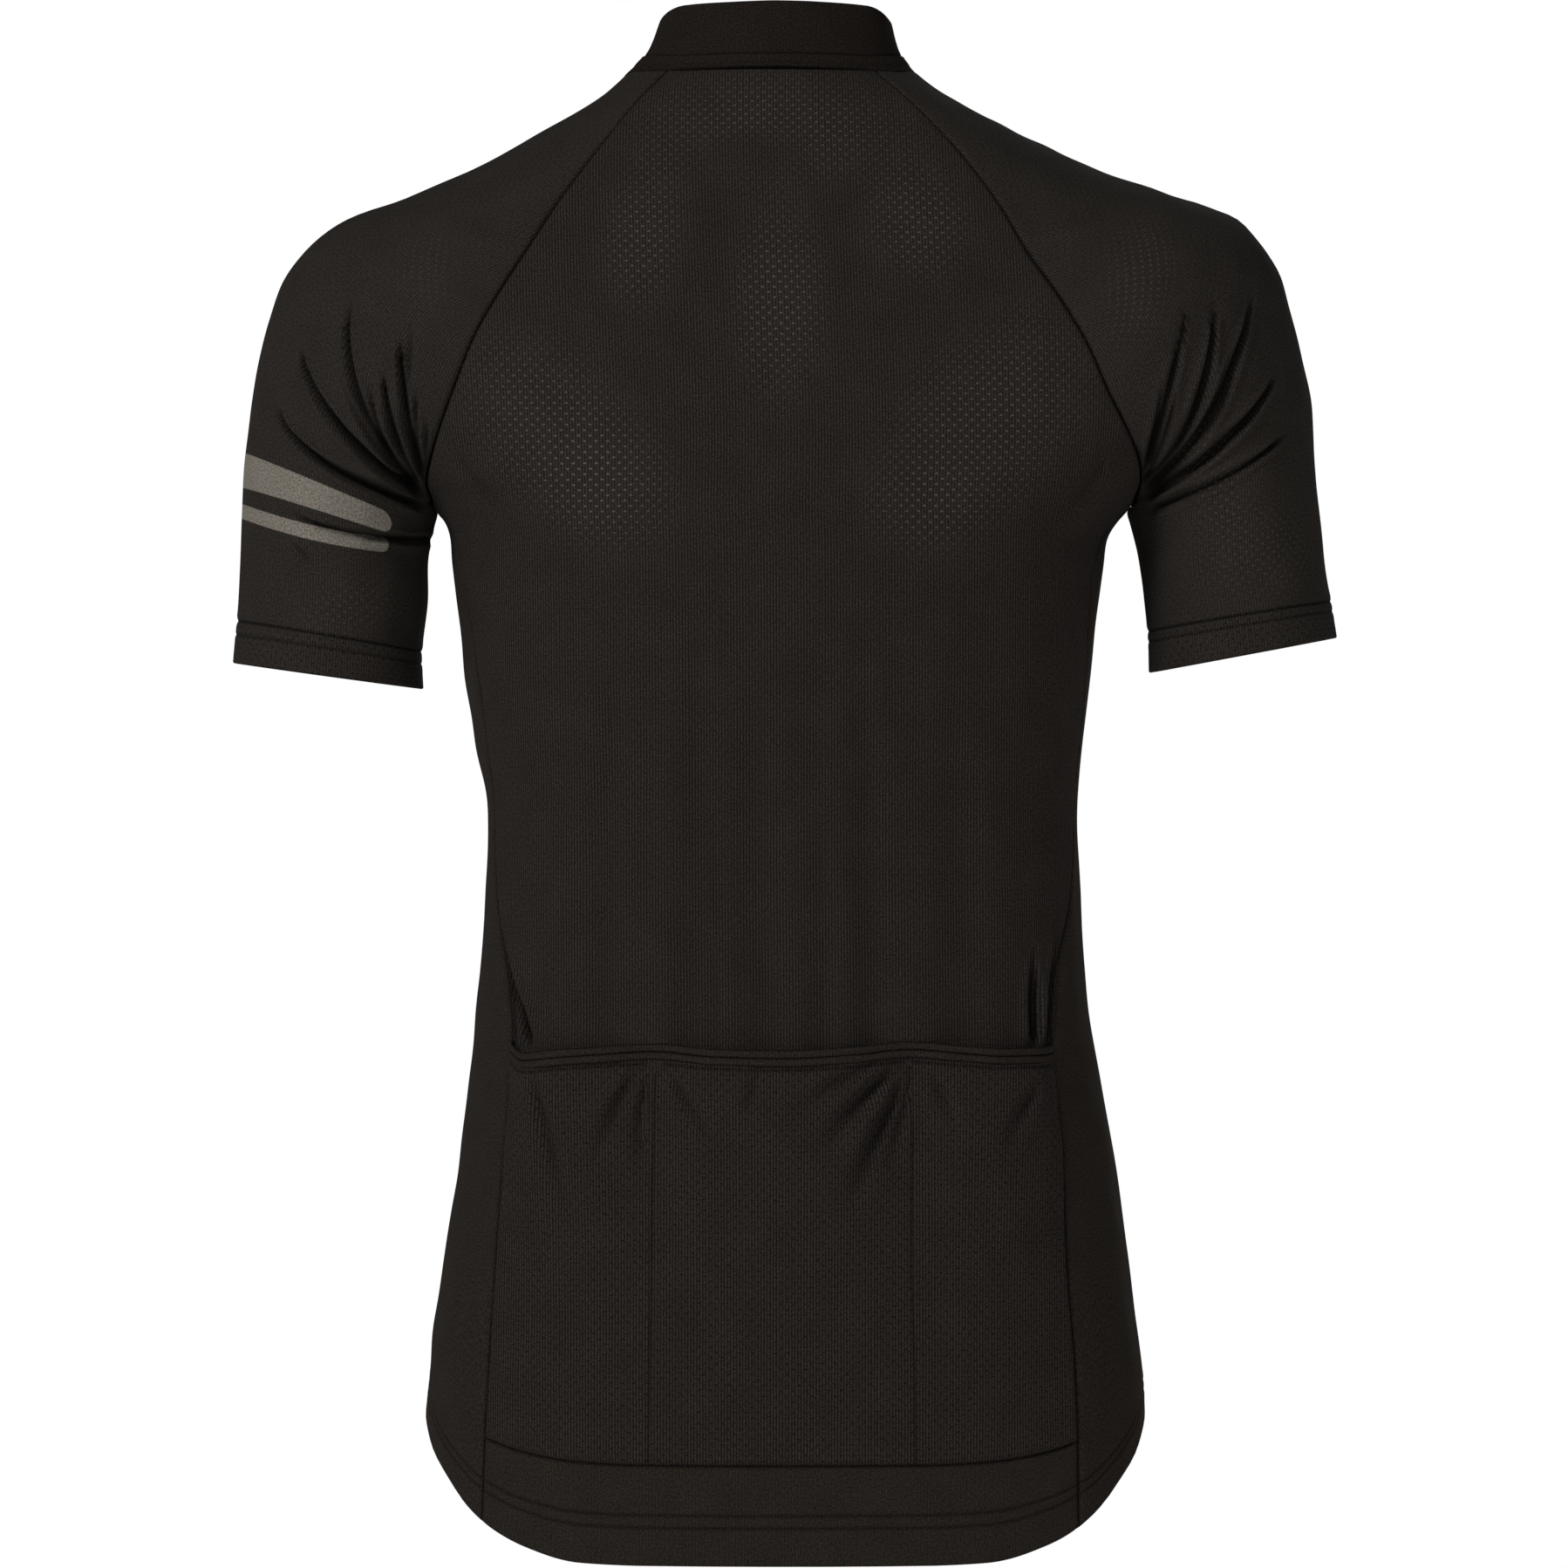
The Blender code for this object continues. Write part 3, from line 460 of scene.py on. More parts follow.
    def yoke(self, row: int, share: Array, front: bool) -> Array:
        """Points of a yoke row, at shares from the middle (0) to the left (1) or right (-1) raglan seam."""
        level, arc = YOKE[row - ARMPIT], ARCS[row]
        height, depth, sweep = ((level.front_z, -level.front_y, level.front_sweep) if front
                                else (level.back_z, level.back_y, level.back_sweep))
        top = YOKE[-1].front_z if front else YOKE[-1].back_z
        lean = NECK_MIDDLE * smooth((height - YOKE[0].back_z) / (top - YOKE[0].back_z))
        at = np.array([-arc.front_sweep if front else arc.back_sweep], float)
        left, right = (self.sleeve(side, row, at)[0] for side in (Side.LEFT, Side.RIGHT))
        end = np.where((share >= 0)[:, None], left, right)
        square = SQUARE * (1 - (row - ARMPIT) / (len(YOKE) - 1))
        sweep = math.radians(sweep)
        angle = sweep * np.abs(share)
        sideways = across(angle, square) / across(sweep, square)
        foot = outward(sweep, square)
        rise = (outward(angle, square) - foot) / (1 - foot)
        return np.stack([lean + (end[:, 0] - lean) * sideways, end[:, 1] + (depth - end[:, 1]) * rise,
                         end[:, 2] + (height - end[:, 2]) * rise], -1)

    def back(self, columns: Array) -> Array:
        """The back's control rows, hem to neck, at columns from the right (-1) to the left (1) seam."""
        def angle_of(height: Array, column: Array) -> Array:
            """The angle of a column at a height."""
            return column * np.where(column >= 0, read(TRUNK, "height", height, "seam_left"),
                                     read(TRUNK, "height", height, "seam_right"))
        yoke = [self.yoke(row, columns, False) for row in range(ARMPIT, len(ARCS))]
        return np.concatenate([self.trunk_rows(columns, angle_of), yoke])

    def front(self, side: Side, columns: Array) -> Array:
        """A front's control rows, hem to neck, at columns from the zip (0) to the side and raglan seam (1)."""
        def angle_of(height: Array, column: Array) -> Array:
            """The angle of a column at a height."""
            edge = read(TRUNK, "height", height, "seam_front")
            width = np.abs(self.trunk(np.full(len(height), side.value * 90.0), height)[:, 0])
            start = np.degrees(ZIP_HALF / (width * (1 + SQUARE)))
            return side.value * (180 - start - (edge - start) * column)
        rows = []
        for row in range(ARMPIT, len(ARCS)):
            level = YOKE[row - ARMPIT]
            sweep = math.radians(level.front_sweep)
            square = SQUARE * (1 - (row - ARMPIT) / (len(YOKE) - 1))
            ends = self.yoke(row, np.array([0.0, side.value]), True)
            half_width = abs(ends[1, 0] - ends[0, 0]) / across(sweep, square)
            start = ZIP_HALF / (half_width * (1 + square)) / sweep
            rows.append(self.yoke(row, side.value * (start + (1 - start) * columns), True))
        return np.concatenate([self.trunk_rows(columns, angle_of), rows])

    def side(self, side: Side, columns: Array) -> Array:
        """A side panel's control rows, hem to arm, at columns from the back (0) to the front (1)."""
        name = "seam_left" if side is Side.LEFT else "seam_right"

        def angle_of(height: Array, column: Array) -> Array:
            """The angle of a column at a height."""
            start = read(TRUNK, "height", height, name)
            end = 180 - read(TRUNK, "height", height, "seam_front")
            return side.value * (start + (end - start) * column)
        return np.concatenate([self.trunk_rows(columns, angle_of), [self.underarm(side, ARMPIT, columns)]])

    def underarm(self, side: Side, row: int, columns: Array) -> Array:
        """Points under the arm on a sleeve row, from the back (0) to the front (1) raglan seam's line."""
        start, end = ARCS[ARMPIT].back_sweep, 360 - ARCS[ARMPIT].front_sweep
        degrees = start + (end - start) * columns
        return self.sleeve(side, row, np.where(degrees <= 180, degrees, degrees - 360))

    def over_arm(self, side: Side, row: int, columns: Array) -> Array:
        """Points over the arm on a sleeve row, from the front (0) to the back (1) raglan seam."""
        arc = ARCS[max(row, ARMPIT)]
        degrees = (2 * columns - 1) * np.where(columns < 0.5, arc.front_sweep, arc.back_sweep)
        return self.sleeve(side, row, degrees)


# ---------------------------------------------------------------------------------------------------------
# Creases, patches and stripes, placed on the back and front of the worn form.
# ---------------------------------------------------------------------------------------------------------

class Crease(NamedTuple):
    """A soft trough seen from the back or front: start, middle and end (x, z), depth and width."""

    x0: float
    z0: float
    x1: float
    z1: float
    x2: float
    z2: float
    depth: float
    width: float
    start: float = 0.35     # the share of its length over which it deepens
    end: float = 0.08       # and over which it runs out


CURVE_POINTS = 33       # on a crease's middle line
NARROWEST = 1.1         # the least width of a trough
DEEPEST = 7.5           # how far creases may press in together

SLEEVE_BACK_CREASES = (
    Crease(253, -172, 230, -201, 178, -223, 4.6, 2.1, 0.12),
    Crease(241, -144, 221, -184, 178, -219, 5.2, 2.3, 0.12),
    Crease(242, -189, 221, -207, 180, -224, 3.0, 1.5, 0.2),
    Crease(228, -172, 207, -199, 180, -218, 3.4, 1.6, 0.25),
    Crease(214, -118, 211, -170, 179, -216, 4.2, 2.1, 0.2),
    Crease(222, -152, 207, -187, 181, -216, 1.6, 1.4, 0.4),
    Crease(190, -140, 187, -176, 180, -211, 4.6, 1.9, 0.15),
    Crease(198, -156, 194, -184, 181, -214, 3.6, 1.7, 0.2),
    Crease(205, -160, 199, -190, 182, -217, 2.6, 1.5, 0.3),
    Crease(181, -166, 182, -188, 179, -211, 2.6, 1.6, 0.3),
    Crease(176, -180, 178, -200, 177, -216, 1.8, 1.5, 0.3),
    Crease(184, -128, 185, -150, 186, -172, 1.8, 1.8, 0.5, 0.4),
    Crease(249, -223, 222, -236, 176, -240, 3.2, 1.6, 0.3, 0.2),
    Crease(214, -240, 198, -240, 174, -238, 2.2, 1.5, 0.3, 0.1),
    Crease(247, -240, 240, -247, 234, -254, 1.4, 1.6, 0.4, 0.4),
    Crease(-200, -122, -190, -168, -179, -208, 3.8, 1.9, 0.2),
    Crease(-214, -118, -203, -178, -175, -214, 4.4, 2.1, 0.2),
    Crease(-234, -116, -211, -180, -178, -217, 4.8, 2.3, 0.2),
    Crease(-246, -156, -222, -188, -179, -219, 4.4, 2.1, 0.15),
    Crease(-251, -186, -222, -208, -181, -225, 3.4, 1.9, 0.15),
    Crease(-238, -172, -216, -196, -182, -220, 2.8, 1.5, 0.2),
    Crease(-186, -160, -184, -184, -177, -212, 2.6, 1.6, 0.3),
    Crease(-222, -142, -206, -184, -178, -216, 2.8, 1.5, 0.3),
    Crease(-194, -164, -189, -188, -178, -214, 2.4, 1.5, 0.3),
)
SLEEVE_FRONT_CREASES = (
    Crease(244, -158, 219, -194, 178, -222, 4.2, 2.8, 0.2),
    Crease(226, -128, 207, -176, 178, -216, 4.4, 2.8, 0.2),
    Crease(201, -134, 190, -178, 176, -212, 3.6, 2.4, 0.3),
    Crease(250, -208, 221, -226, 178, -234, 2.8, 2.4, 0.3),
    Crease(-240, -150, -214, -190, -176, -219, 4.2, 2.8, 0.2),
    Crease(-219, -124, -202, -172, -176, -213, 4.4, 2.8, 0.2),
    Crease(-196, -140, -187, -178, -176, -209, 3.4, 2.4, 0.3),
    Crease(-247, -190, -219, -212, -180, -226, 3.0, 2.4, 0.3),
)
BACK_CREASES = (
    Crease(141, -428, 137, -460, 133, -492, 2.6, 2.0, 0.5),
    Crease(137, -452, 132, -471, 126, -491, 4.4, 2.0, 0.4),
    Crease(-124, -440, -124, -464, -125, -491, 4.2, 2.2, 0.5),
    Crease(-136, -430, -134, -462, -131, -492, 3.0, 2.0, 0.5),
    Crease(47, -240, 44, -362, 48, -512, 2.6, 7.0, 0.5, 0.05),
    Crease(37, -300, 35, -392, 36, -506, 1.2, 4.0, 0.6, 0.05),
    Crease(12, -262, 14, -362, 9, -512, 2.0, 8.0, 0.5, 0.05),
    Crease(84, -276, 88, -384, 90, -506, 1.9, 8.0, 0.5, 0.05),
    Crease(-16, -310, -18, -390, -19, -512, 1.3, 5.0, 0.6, 0.05),
    Crease(-37, -250, -40, -372, -44, -506, 2.4, 7.0, 0.5, 0.05),
    Crease(-80, -300, -86, -384, -84, -512, 1.7, 9.0, 0.5, 0.05),
    Crease(163, -196, 150, -216, 132, -232, 1.4, 4.0, 0.2, 0.6),
    Crease(-160, -198, -148, -218, -130, -232, 1.4, 4.0, 0.2, 0.6),
)
FRONT_CREASES = (
    Crease(158, -200, 140, -226, 112, -246, 2.2, 5.0, 0.2, 0.7),
    Crease(-157, -198, -138, -226, -108, -248, 2.2, 5.0, 0.2, 0.7),
    Crease(152, -180, 120, -196, 84, -200, 1.6, 5.0, 0.3, 0.6),
    Crease(-150, -178, -118, -194, -80, -202, 1.6, 5.0, 0.3, 0.6),
    Crease(96, -330, 84, -420, 90, -520, 2.0, 9.0, 0.5, 0.4),
    Crease(-92, -340, -86, -430, -80, -540, 2.0, 9.0, 0.5, 0.4),
    Crease(40, -380, 46, -470, 38, -560, 1.6, 8.0, 0.5, 0.4),
    Crease(-36, -360, -44, -450, -38, -560, 1.6, 8.0, 0.5, 0.4),
    Crease(12, -396, 30, -402, 62, -396, 1.2, 5.0, 0.2, 0.7),
    Crease(-12, -412, -34, -420, -70, -412, 1.2, 5.0, 0.2, 0.7),
)
POCKET_CREASES = (
    Crease(-57, -500, -40, -516, -12, -548, 3.6, 4.0, 0.25, 0.6),
    Crease(-60, -503, -48, -532, -26, -580, 4.2, 4.4, 0.25, 0.6),
    Crease(-64, -504, -58, -524, -46, -562, 3.0, 3.4, 0.25, 0.6),
    Crease(-52, -498, -30, -506, 4, -528, 2.2, 3.4, 0.3, 0.7),
    Crease(12, -498, 15, -508, 22, -530, 1.4, 3.0, 0.3, 0.6),
    Crease(70, -499, 83, -521, 102, -560, 2.6, 3.8, 0.25, 0.7),
    Crease(67, -501, 69, -523, 73, -562, 2.2, 3.2, 0.25, 0.7),
    Crease(126, -502, 118, -534, 104, -590, 2.6, 4.0, 0.2, 0.7),
    Crease(58, -500, 48, -519, 30, -546, 2.0, 3.6, 0.25, 0.7),
    Crease(-72, -500, -78, -516, -88, -542, 1.6, 3.6, 0.3, 0.7),
    Crease(-127, -506, -118, -524, -104, -550, 2.0, 3.8, 0.3, 0.7),
)


class Patch(NamedTuple):
    """A soft oval, seen from the back, of painted light: where the eyelets stand open and the pale
    surroundings show through them.
    """

    x: float
    z: float
    half_width: float
    half_height: float
    turn: float
    strength: float


SEE_THROUGH_LIGHT_PATCHES = (
    Patch(4, -36, 60, 24, 0, 0.6),
    Patch(14, -48, 24, 10, 0, -0.45),
    Patch(70, -92, 17, 32, 8, 0.65),
    Patch(-66, -84, 22, 26, -20, 0.65),
    Patch(2, -124, 19, 42, 0, 0.7),
    Patch(108, -192, 52, 30, 47, 0.65),
    Patch(88, -214, 26, 22, 30, 0.3),
    Patch(-98, -186, 56, 34, -47, 0.65),
    Patch(-70, -226, 22, 18, 0, 0.3),
    Patch(176, -106, 16, 24, 0, 0.25),
    Patch(-176, -110, 16, 30, 10, 0.45),
    Patch(214, -274, 30, 14, -10, 0.3),
    Patch(-236, -246, 30, 24, 0, 0.35),
    Patch(-214, -208, 14, 24, -20, 0.3),
)


class Creased(NamedTuple):
    """How deep creases press points in, and how much shade is painted down in them."""

    depth: Array
    shade: Array


def creased(points: Array, creases: Sequence[Crease]) -> Creased:
    """What creases do to points.

    Args:
        points: the points, in millimetres.
        creases: the creases, drawn in x and z.

    Returns:
        The depth at each point, in millimetres, and the depth of narrow troughs alone, which sets the shade
        painted down in them.
    """
    depth, shade = np.zeros(len(points)), np.zeros(len(points))
    flat = points * (1, 0, 1)
    share = np.linspace(0, 1, CURVE_POINTS)[:, None]
    for crease in creases:
        start, middle, end = (np.array([getattr(crease, "x" + n), 0, getattr(crease, "z" + n)]) for n in "012")
        handle = 2 * middle - (start + end) / 2
        line = start * (1 - share) ** 2 + handle * 2 * share * (1 - share) + end * share ** 2
        run = run_to(flat, line, reach=4 * crease.width)
        at = run.along / steps_of(line)[-1]
        fade = smooth(at / crease.start) * smooth((1 - at) / crease.end)
        width = np.maximum(crease.width * (0.45 + 0.6 * smooth(at / 0.6)), NARROWEST)
        beside = 0.35 * np.exp(-((run.gap - 2 * width) / width) ** 2)
        depth += crease.depth * fade * (np.exp(-(run.gap / width) ** 2) - beside)
        # Painted shade in the trough's core, less in wide troughs.
        core = np.exp(-(run.gap / np.maximum(0.6 * width, 0.9)) ** 2) * min(1, (2.6 / crease.width) ** 2)
        shade += crease.depth * fade * core
    return Creased(np.minimum(depth, DEEPEST), shade)


def painted_see_through_light(points: Array) -> Array:
    """How much painted light shows through the eyelets at each point, from 0 to 1: how far they stand open."""
    total = np.full(len(points), 0.06)
    for patch in SEE_THROUGH_LIGHT_PATCHES:
        turn = math.radians(patch.turn)
        x, z = points[:, 0] - patch.x, points[:, 2] - patch.z
        along = (x * math.cos(turn) + z * math.sin(turn)) / patch.half_width
        up = (z * math.cos(turn) - x * math.sin(turn)) / patch.half_height
        total += patch.strength * smooth((1.75 - np.hypot(along, up)) / 1.5)
    return np.clip(total, 0, 1)


# ---------------------------------------------------------------------------------------------------------
# Cloth: points, faces and flat coordinates, with turned edges, made a thin mesh at the end.
# ---------------------------------------------------------------------------------------------------------

class Run(NamedTuple):
    """How a piece's points lie to a line on it: the distance from it, and the way along it."""

    gap: Array
    along: Array


def run_to(points: Array, line: Array, step: float = 1.0, reach: float = 14.0) -> Run:
    """How points lie to a line of points, if they are within its reach."""
    run = steps_of(line)
    line = resample(line, run, np.arange(0, run[-1], step))
    ways = np.gradient(line, axis=0)
    ways /= np.linalg.norm(ways, axis=1, keepdims=True)
    gap, along = np.full(len(points), 1e3), np.zeros(len(points))
    near = np.flatnonzero(((points > line.min(0) - reach) & (points < line.max(0) + reach)).all(1))
    for part in np.array_split(near, max(1, len(near) // 4000)):
        place = points[part]
        square = (place ** 2).sum(1)[:, None] - 2 * place @ line.T + (line ** 2).sum(1)
        index = square.argmin(1)
        off = place - line[index]
        ahead = (off * ways[index]).sum(1)
        ends = (index == 0) & (ahead < 0) | (index == len(line) - 1) & (ahead > 0)
        away = (off ** 2).sum(1) - np.where(ends, 0, ahead ** 2)
        gap[part], along[part] = np.sqrt(np.maximum(away, 0)), index * step + ahead
    return Run(gap, along)


class Groove(NamedTuple):
    """A sewn line: how deep it pulls in, how wide, and how much shade is painted along it."""

    depth: float
    width: float
    shade: float


@dataclass
class Dress:
    """What a piece of cloth is finished with."""

    material: Material
    slot: str
    nodes: tuple[str, ...] = ()     # the solids it stands for
    open: float = 0.0               # how much painted light may show through its open eyelets


class Cloth:
    """A cut piece of cloth in millimetres: points, faces, outward directions and flat coordinates."""

    thickness = 0.6
    layer = 1.35            # from the outer face to a turned layer's inner face
    stretch = 1.05          # worn length over cut length
    seam_hold = 3.0         # how far a seam keeps creases away
    seam_groove = Groove(0.95, 1.1, 0.7)
    shallow_groove = Groove(0.5, 0.9, 0.75)
    stitch_groove = Groove(0.4, 0.8, 0.45)
    line_width = 0.65       # of the painted shade along a sewn line
    corner = 7.0            # from a seam's end, where it meets others, to its full depth
    waves = 14              # slow waves of hanging knit, laid over each other
    wave_rate = (0.02, 0.02, 0.012)     # their usual turns in a millimetre, across, in depth and upwards
    painted_fold_shade = 0.85        # how dark the painted shade in a tight fold gets
    fold_reach = 2.6        # the depth of fold that gives most of that painted shade

    def __init__(self, name: str, points: Array, inside: Sequence[float]) -> None:
        """Starts a piece from its grid.

        Args:
            name: the piece's name.
            points: its rows and columns of points.
            inside: a point inside the garment, which tells the outer side from the inner one.
        """
        self.name = name
        row, column = len(points) // 2, points.shape[1] // 3
        way = np.cross(points[row, column + 1] - points[row, column],
                       points[row + 1, column] - points[row, column]) if len(points) > row + 1 else np.zeros(3)
        self.flip = bool(way @ (points[row, column] - np.array(inside, float)) < 0)
        self.points = np.zeros((0, 3))
        self.flat = np.zeros((0, 2))
        self.outer = np.zeros((0, 3))
        # Painted shade at each point, from 0 to 1.
        self.shade = np.zeros(0)
        self.faces: list[Array] = []
        self.pairs: list[tuple[Array, Array]] = []
        self.numbers = self.number(points, self.flattened(points))
        self.cover(self.numbers)

    def number(self, points: Array, flat: Array) -> Array:
        """Adds points without faces, and returns their numbers in the same arrangement."""
        first = len(self.points)
        self.points = np.concatenate([self.points, points.reshape(-1, 3)])
        self.flat = np.concatenate([self.flat, flat.reshape(-1, 2)])
        self.shade = np.concatenate([self.shade, np.zeros(len(self.points) - first)])
        return (first + np.arange(points[..., 0].size)).reshape(points.shape[:-1])

    def cover(self, numbers: Array) -> None:
        """Covers a grid of numbers with faces."""
        low, high = numbers[:-1], numbers[1:]
        faces = np.stack([low[:, :-1], low[:, 1:], high[:, 1:], high[:, :-1]], -1).reshape(-1, 4)
        self.faces.append(faces[:, (0, 3, 2, 1)] if self.flip else faces)

    def close(self, first: Array, last: Array) -> None:
        """Joins two edges of the piece that lie on each other, as on a tube."""
        self.pairs.append((first, last))

    @staticmethod
    def flattened(points: Array) -> Array:
        """Flat coordinates of a grid: distance along each row from its middle, and up the middle column."""
        steps = np.linalg.norm(np.diff(points, axis=1), axis=2)
        along = np.concatenate([np.zeros((len(points), 1)), np.cumsum(steps, axis=1)], axis=1)
        middle = points.shape[1] // 2
        up = np.broadcast_to(steps_of(points[:, middle])[:, None], along.shape)
        return np.stack([along - along[:, middle:middle + 1], up], -1)

    def directions(self) -> Array:
        """Each point's outward direction, from all the faces round it."""
        total = np.zeros_like(self.points)
        for faces in self.faces:
            a, b, c, d = (self.points[faces[:, k]] for k in range(4))
            normal = np.cross(c - a, d - b)
            for k in range(4):
                np.add.at(total, faces[:, k], normal)
        for first, last in self.pairs:
            total[first] = total[last] = total[first] + total[last]
        return total / np.maximum(np.linalg.norm(total, axis=1, keepdims=True), 1e-9)

    def shape(self, seams: Sequence[Array], stitches: Sequence[Array] = (), back: Sequence[Crease] = (),
              front: Sequence[Crease] = (), seed: int = 0, unevenness: float = 0.35,
              shallow: Sequence[Array] = ()) -> None:
        """Gives the piece its creases, the unevenness of hanging knit, and the grooves of seams and stitches,
        with painted shade down in the creases and grooves.

        Args:
            seams: the lines where it is sewn to other pieces.
            stitches: lines sewn through it.
            back: creases seen from the back.
            front: creases seen from the front.
            seed: the start of its random draws.
            unevenness: the height of the slow waves, in millimetres.
            shallow: seam lines that pull in less.
        """
        draw = np.random.default_rng(seed)
        outer = self.directions()
        facing = smooth(outer[:, 1] / 0.5 + 0.5)
        behind, before = creased(self.points, back), creased(self.points, front)
        sink = behind.depth * facing + before.depth * (1 - facing)
        fold = behind.shade * facing + before.shade * (1 - facing)
        for _ in range(self.waves):
            way = draw.normal(size=3) * self.wave_rate
            sink += np.sin(self.points @ (way * 2 * math.pi) + draw.uniform(0, 6.3)) * unevenness / 4
        # Painted shade down in the folds of the creases.
        self.shade = self.painted_fold_shade * (1 - np.exp(-fold / self.fold_reach))
        nearest = np.full(len(self.points), 1e3)
        trough, rise = np.zeros(len(self.points)), np.zeros(len(self.points))
        kinds = ((seams, self.seam_groove), (shallow, self.shallow_groove), (stitches, self.stitch_groove))
        for lines, groove in kinds:
            for line in lines:
                run = run_to(self.points, line)
                if lines is not stitches:
                    nearest = np.minimum(nearest, run.gap)
                ends = np.minimum(run.along, steps_of(line)[-1] - run.along)
                deep = groove.depth * (0.25 + 0.75 * smooth(ends / self.corner))
                wave = sum(np.sin(run.along * 2 * math.pi / draw.uniform(6, 18) + draw.uniform(0, 6.3))
                           for _ in range(3))
                beside = np.exp(-((run.gap - 3.4 * groove.width) / (2.2 * groove.width)) ** 2)
                trough = np.maximum(trough, deep * np.exp(-(run.gap / groove.width) ** 2))
                rise = np.maximum(rise, (0.16 + 0.05 * wave) * deep * beside)
                # Painted shade along seams and stitches.
                self.shade = np.maximum(self.shade, groove.shade * np.exp(-(run.gap / self.line_width) ** 2))
        hold = smooth(nearest / self.seam_hold)
        self.points -= outer * (sink * hold + trough - rise * smooth(nearest / 2))[:, None]
        self.outer = self.directions()

    def turn(self, numbers: Array, edge: Edge, lines: int, rounded: float = 0.35,
             closed: bool = False) -> Array:
        """Turns an edge in and back under the piece, as a hem, a seam allowance or a facing.

        Args:
            numbers: the grid, of which the turned part covers the first rows or columns from inside.
            edge: which edge turns.
            lines: how many rows or columns lie double.
            rounded: how far the fold stands out past the edge, in millimetres.
            closed: whether the edge is a ring.

        Returns:
            The grid with the turned part added.
        """
        grid = numbers if edge in (Edge.FOOT, Edge.HEAD) else numbers.T
        grid = grid if edge in (Edge.FOOT, Edge.START) else grid[::-1]
        under = grid[:lines]
        out = self.points[grid[0]] - self.points[grid[1]]
        out /= np.maximum(np.linalg.norm(out, axis=1, keepdims=True), 1e-9)
        inner = self.points[under] - self.outer[under] * self.layer
        fold = self.points[grid[0]] - self.outer[grid[0]] * self.layer / 2 + out * rounded
        flat = self.flat[grid[0]]
        new = self.number(np.concatenate([fold[None], inner]),
                          np.concatenate([flat[None], 2 * flat - self.flat[under]]))
        self.outer = np.concatenate([self.outer, self.outer[grid[0]], self.outer[under].reshape(-1, 3)])
        self.shade[new] = self.shade[np.concatenate([grid[:1], under])]
        if closed:
            self.close(new[:, 0], new[:, -1])
        added, whole = np.concatenate([new[::-1], grid[:1]]), np.concatenate([new[::-1], grid])
        if edge in (Edge.HEAD, Edge.END):
            added, whole = added[::-1], whole[::-1]
        if edge in (Edge.START, Edge.END):
            added, whole = added.T, whole.T
        self.cover(added)
        return whole

    def turn_all(self, numbers: Array, edges: Sequence[Edge], lines: int) -> Array:
        """Turns edges in one after the other, and returns the grid with the turned parts added."""
        for edge in edges:
            numbers = self.turn(numbers, edge, lines)
        return numbers

    def course(self, place: Array) -> tuple[Array, Array]:
        """A line on the finished piece and its outward directions, from places in the grid.

        Args:
            place: row and column of each of its points, in fractions.

        Returns:
            The points and the directions.
        """
        low = np.clip(np.floor(place).astype(int), 0, np.array(self.numbers.shape) - 2)
        part = place - low
        weight = ((1 - part[:, 0]) * (1 - part[:, 1]), (1 - part[:, 0]) * part[:, 1],
                  part[:, 0] * (1 - part[:, 1]), part[:, 0] * part[:, 1])
        corner = [self.numbers[low[:, 0] + r, low[:, 1] + c] for r in (0, 1) for c in (0, 1)]
        return tuple(sum(w[:, None] * values[n] for w, n in zip(weight, corner))
                     for values in (self.points, self.outer))

    def row_course(self, row: float) -> tuple[Array, Array]:
        """The course along a row of the grid."""
        columns = np.arange(self.numbers.shape[1], dtype=float)
        return self.course(np.stack([np.full_like(columns, row), columns], -1))

    def column_course(self, column: float) -> tuple[Array, Array]:
        """The course along a column of the grid."""
        rows = np.arange(self.numbers.shape[0], dtype=float)
        return self.course(np.stack([rows, np.full_like(rows, column)], -1))

    def mesh(self, dress: Dress) -> Piece:
        """Makes the piece a thin wall in metres, with its flat coordinates as a UV map and its look.

        Args:
            dress: what the piece is finished with.

        Returns:
            The finished object, which rides on the cloth's body.
        """
        corners = np.concatenate(self.faces)
        tone = self.shade[corners]
        turned = np.abs(tone[:, 0] - tone[:, 2]) > np.abs(tone[:, 1] - tone[:, 3])
        # A face splits into triangles from its first corner: along a crease, and not across it.
        corners[turned] = np.roll(corners[turned], -1, axis=1)
        kept = np.arange(len(self.points))
        for first, last in self.pairs:
            kept[last] = first
        used, faces = np.unique(kept[corners], return_inverse=True)
        data = bpy.data.meshes.new(self.name)
        data.from_pydata((self.points[used] * MM).tolist(), [], faces.reshape(-1, 4).tolist())
        places = self.flat[corners.ravel()].astype(np.float32)
        data.uv_layers.new(name="cut").uv.foreach_set("vector", places.ravel())
        # "open" carries the painted light seen through the eyelets, and "shade" the painted shade.
        looks = {"open": painted_see_through_light(self.points[used]) * dress.open, "shade": self.shade[used]}
        for name, values in looks.items():
            data.attributes.new(name, "FLOAT", "POINT").data.foreach_set("value", values.astype(np.float32))
        piece = bpy.data.objects.new(self.name, data)
        bpy.context.scene.collection.objects.link(piece)
        make_wall(piece, self.thickness)
        return finish_piece(piece, dress)

    def declare(self, piece: Piece, with_pieces: Sequence[Piece] = ()) -> None:
        """Works out what flat size the piece was cut to, with all that is turned under, but passes it on
        nowhere.
        """
        faces = np.concatenate(self.faces)
        a, b, c, d = (self.points[faces[:, k]] for k in range(4))
        area = np.linalg.norm(np.cross(c - a, d - b), axis=1).sum() / 2 * (MM / self.stretch) ** 2
        width, length = np.ptp(self.flat, axis=0) * MM / self.stretch
        area = min(max(area, 0.3 * width * length), width * length)


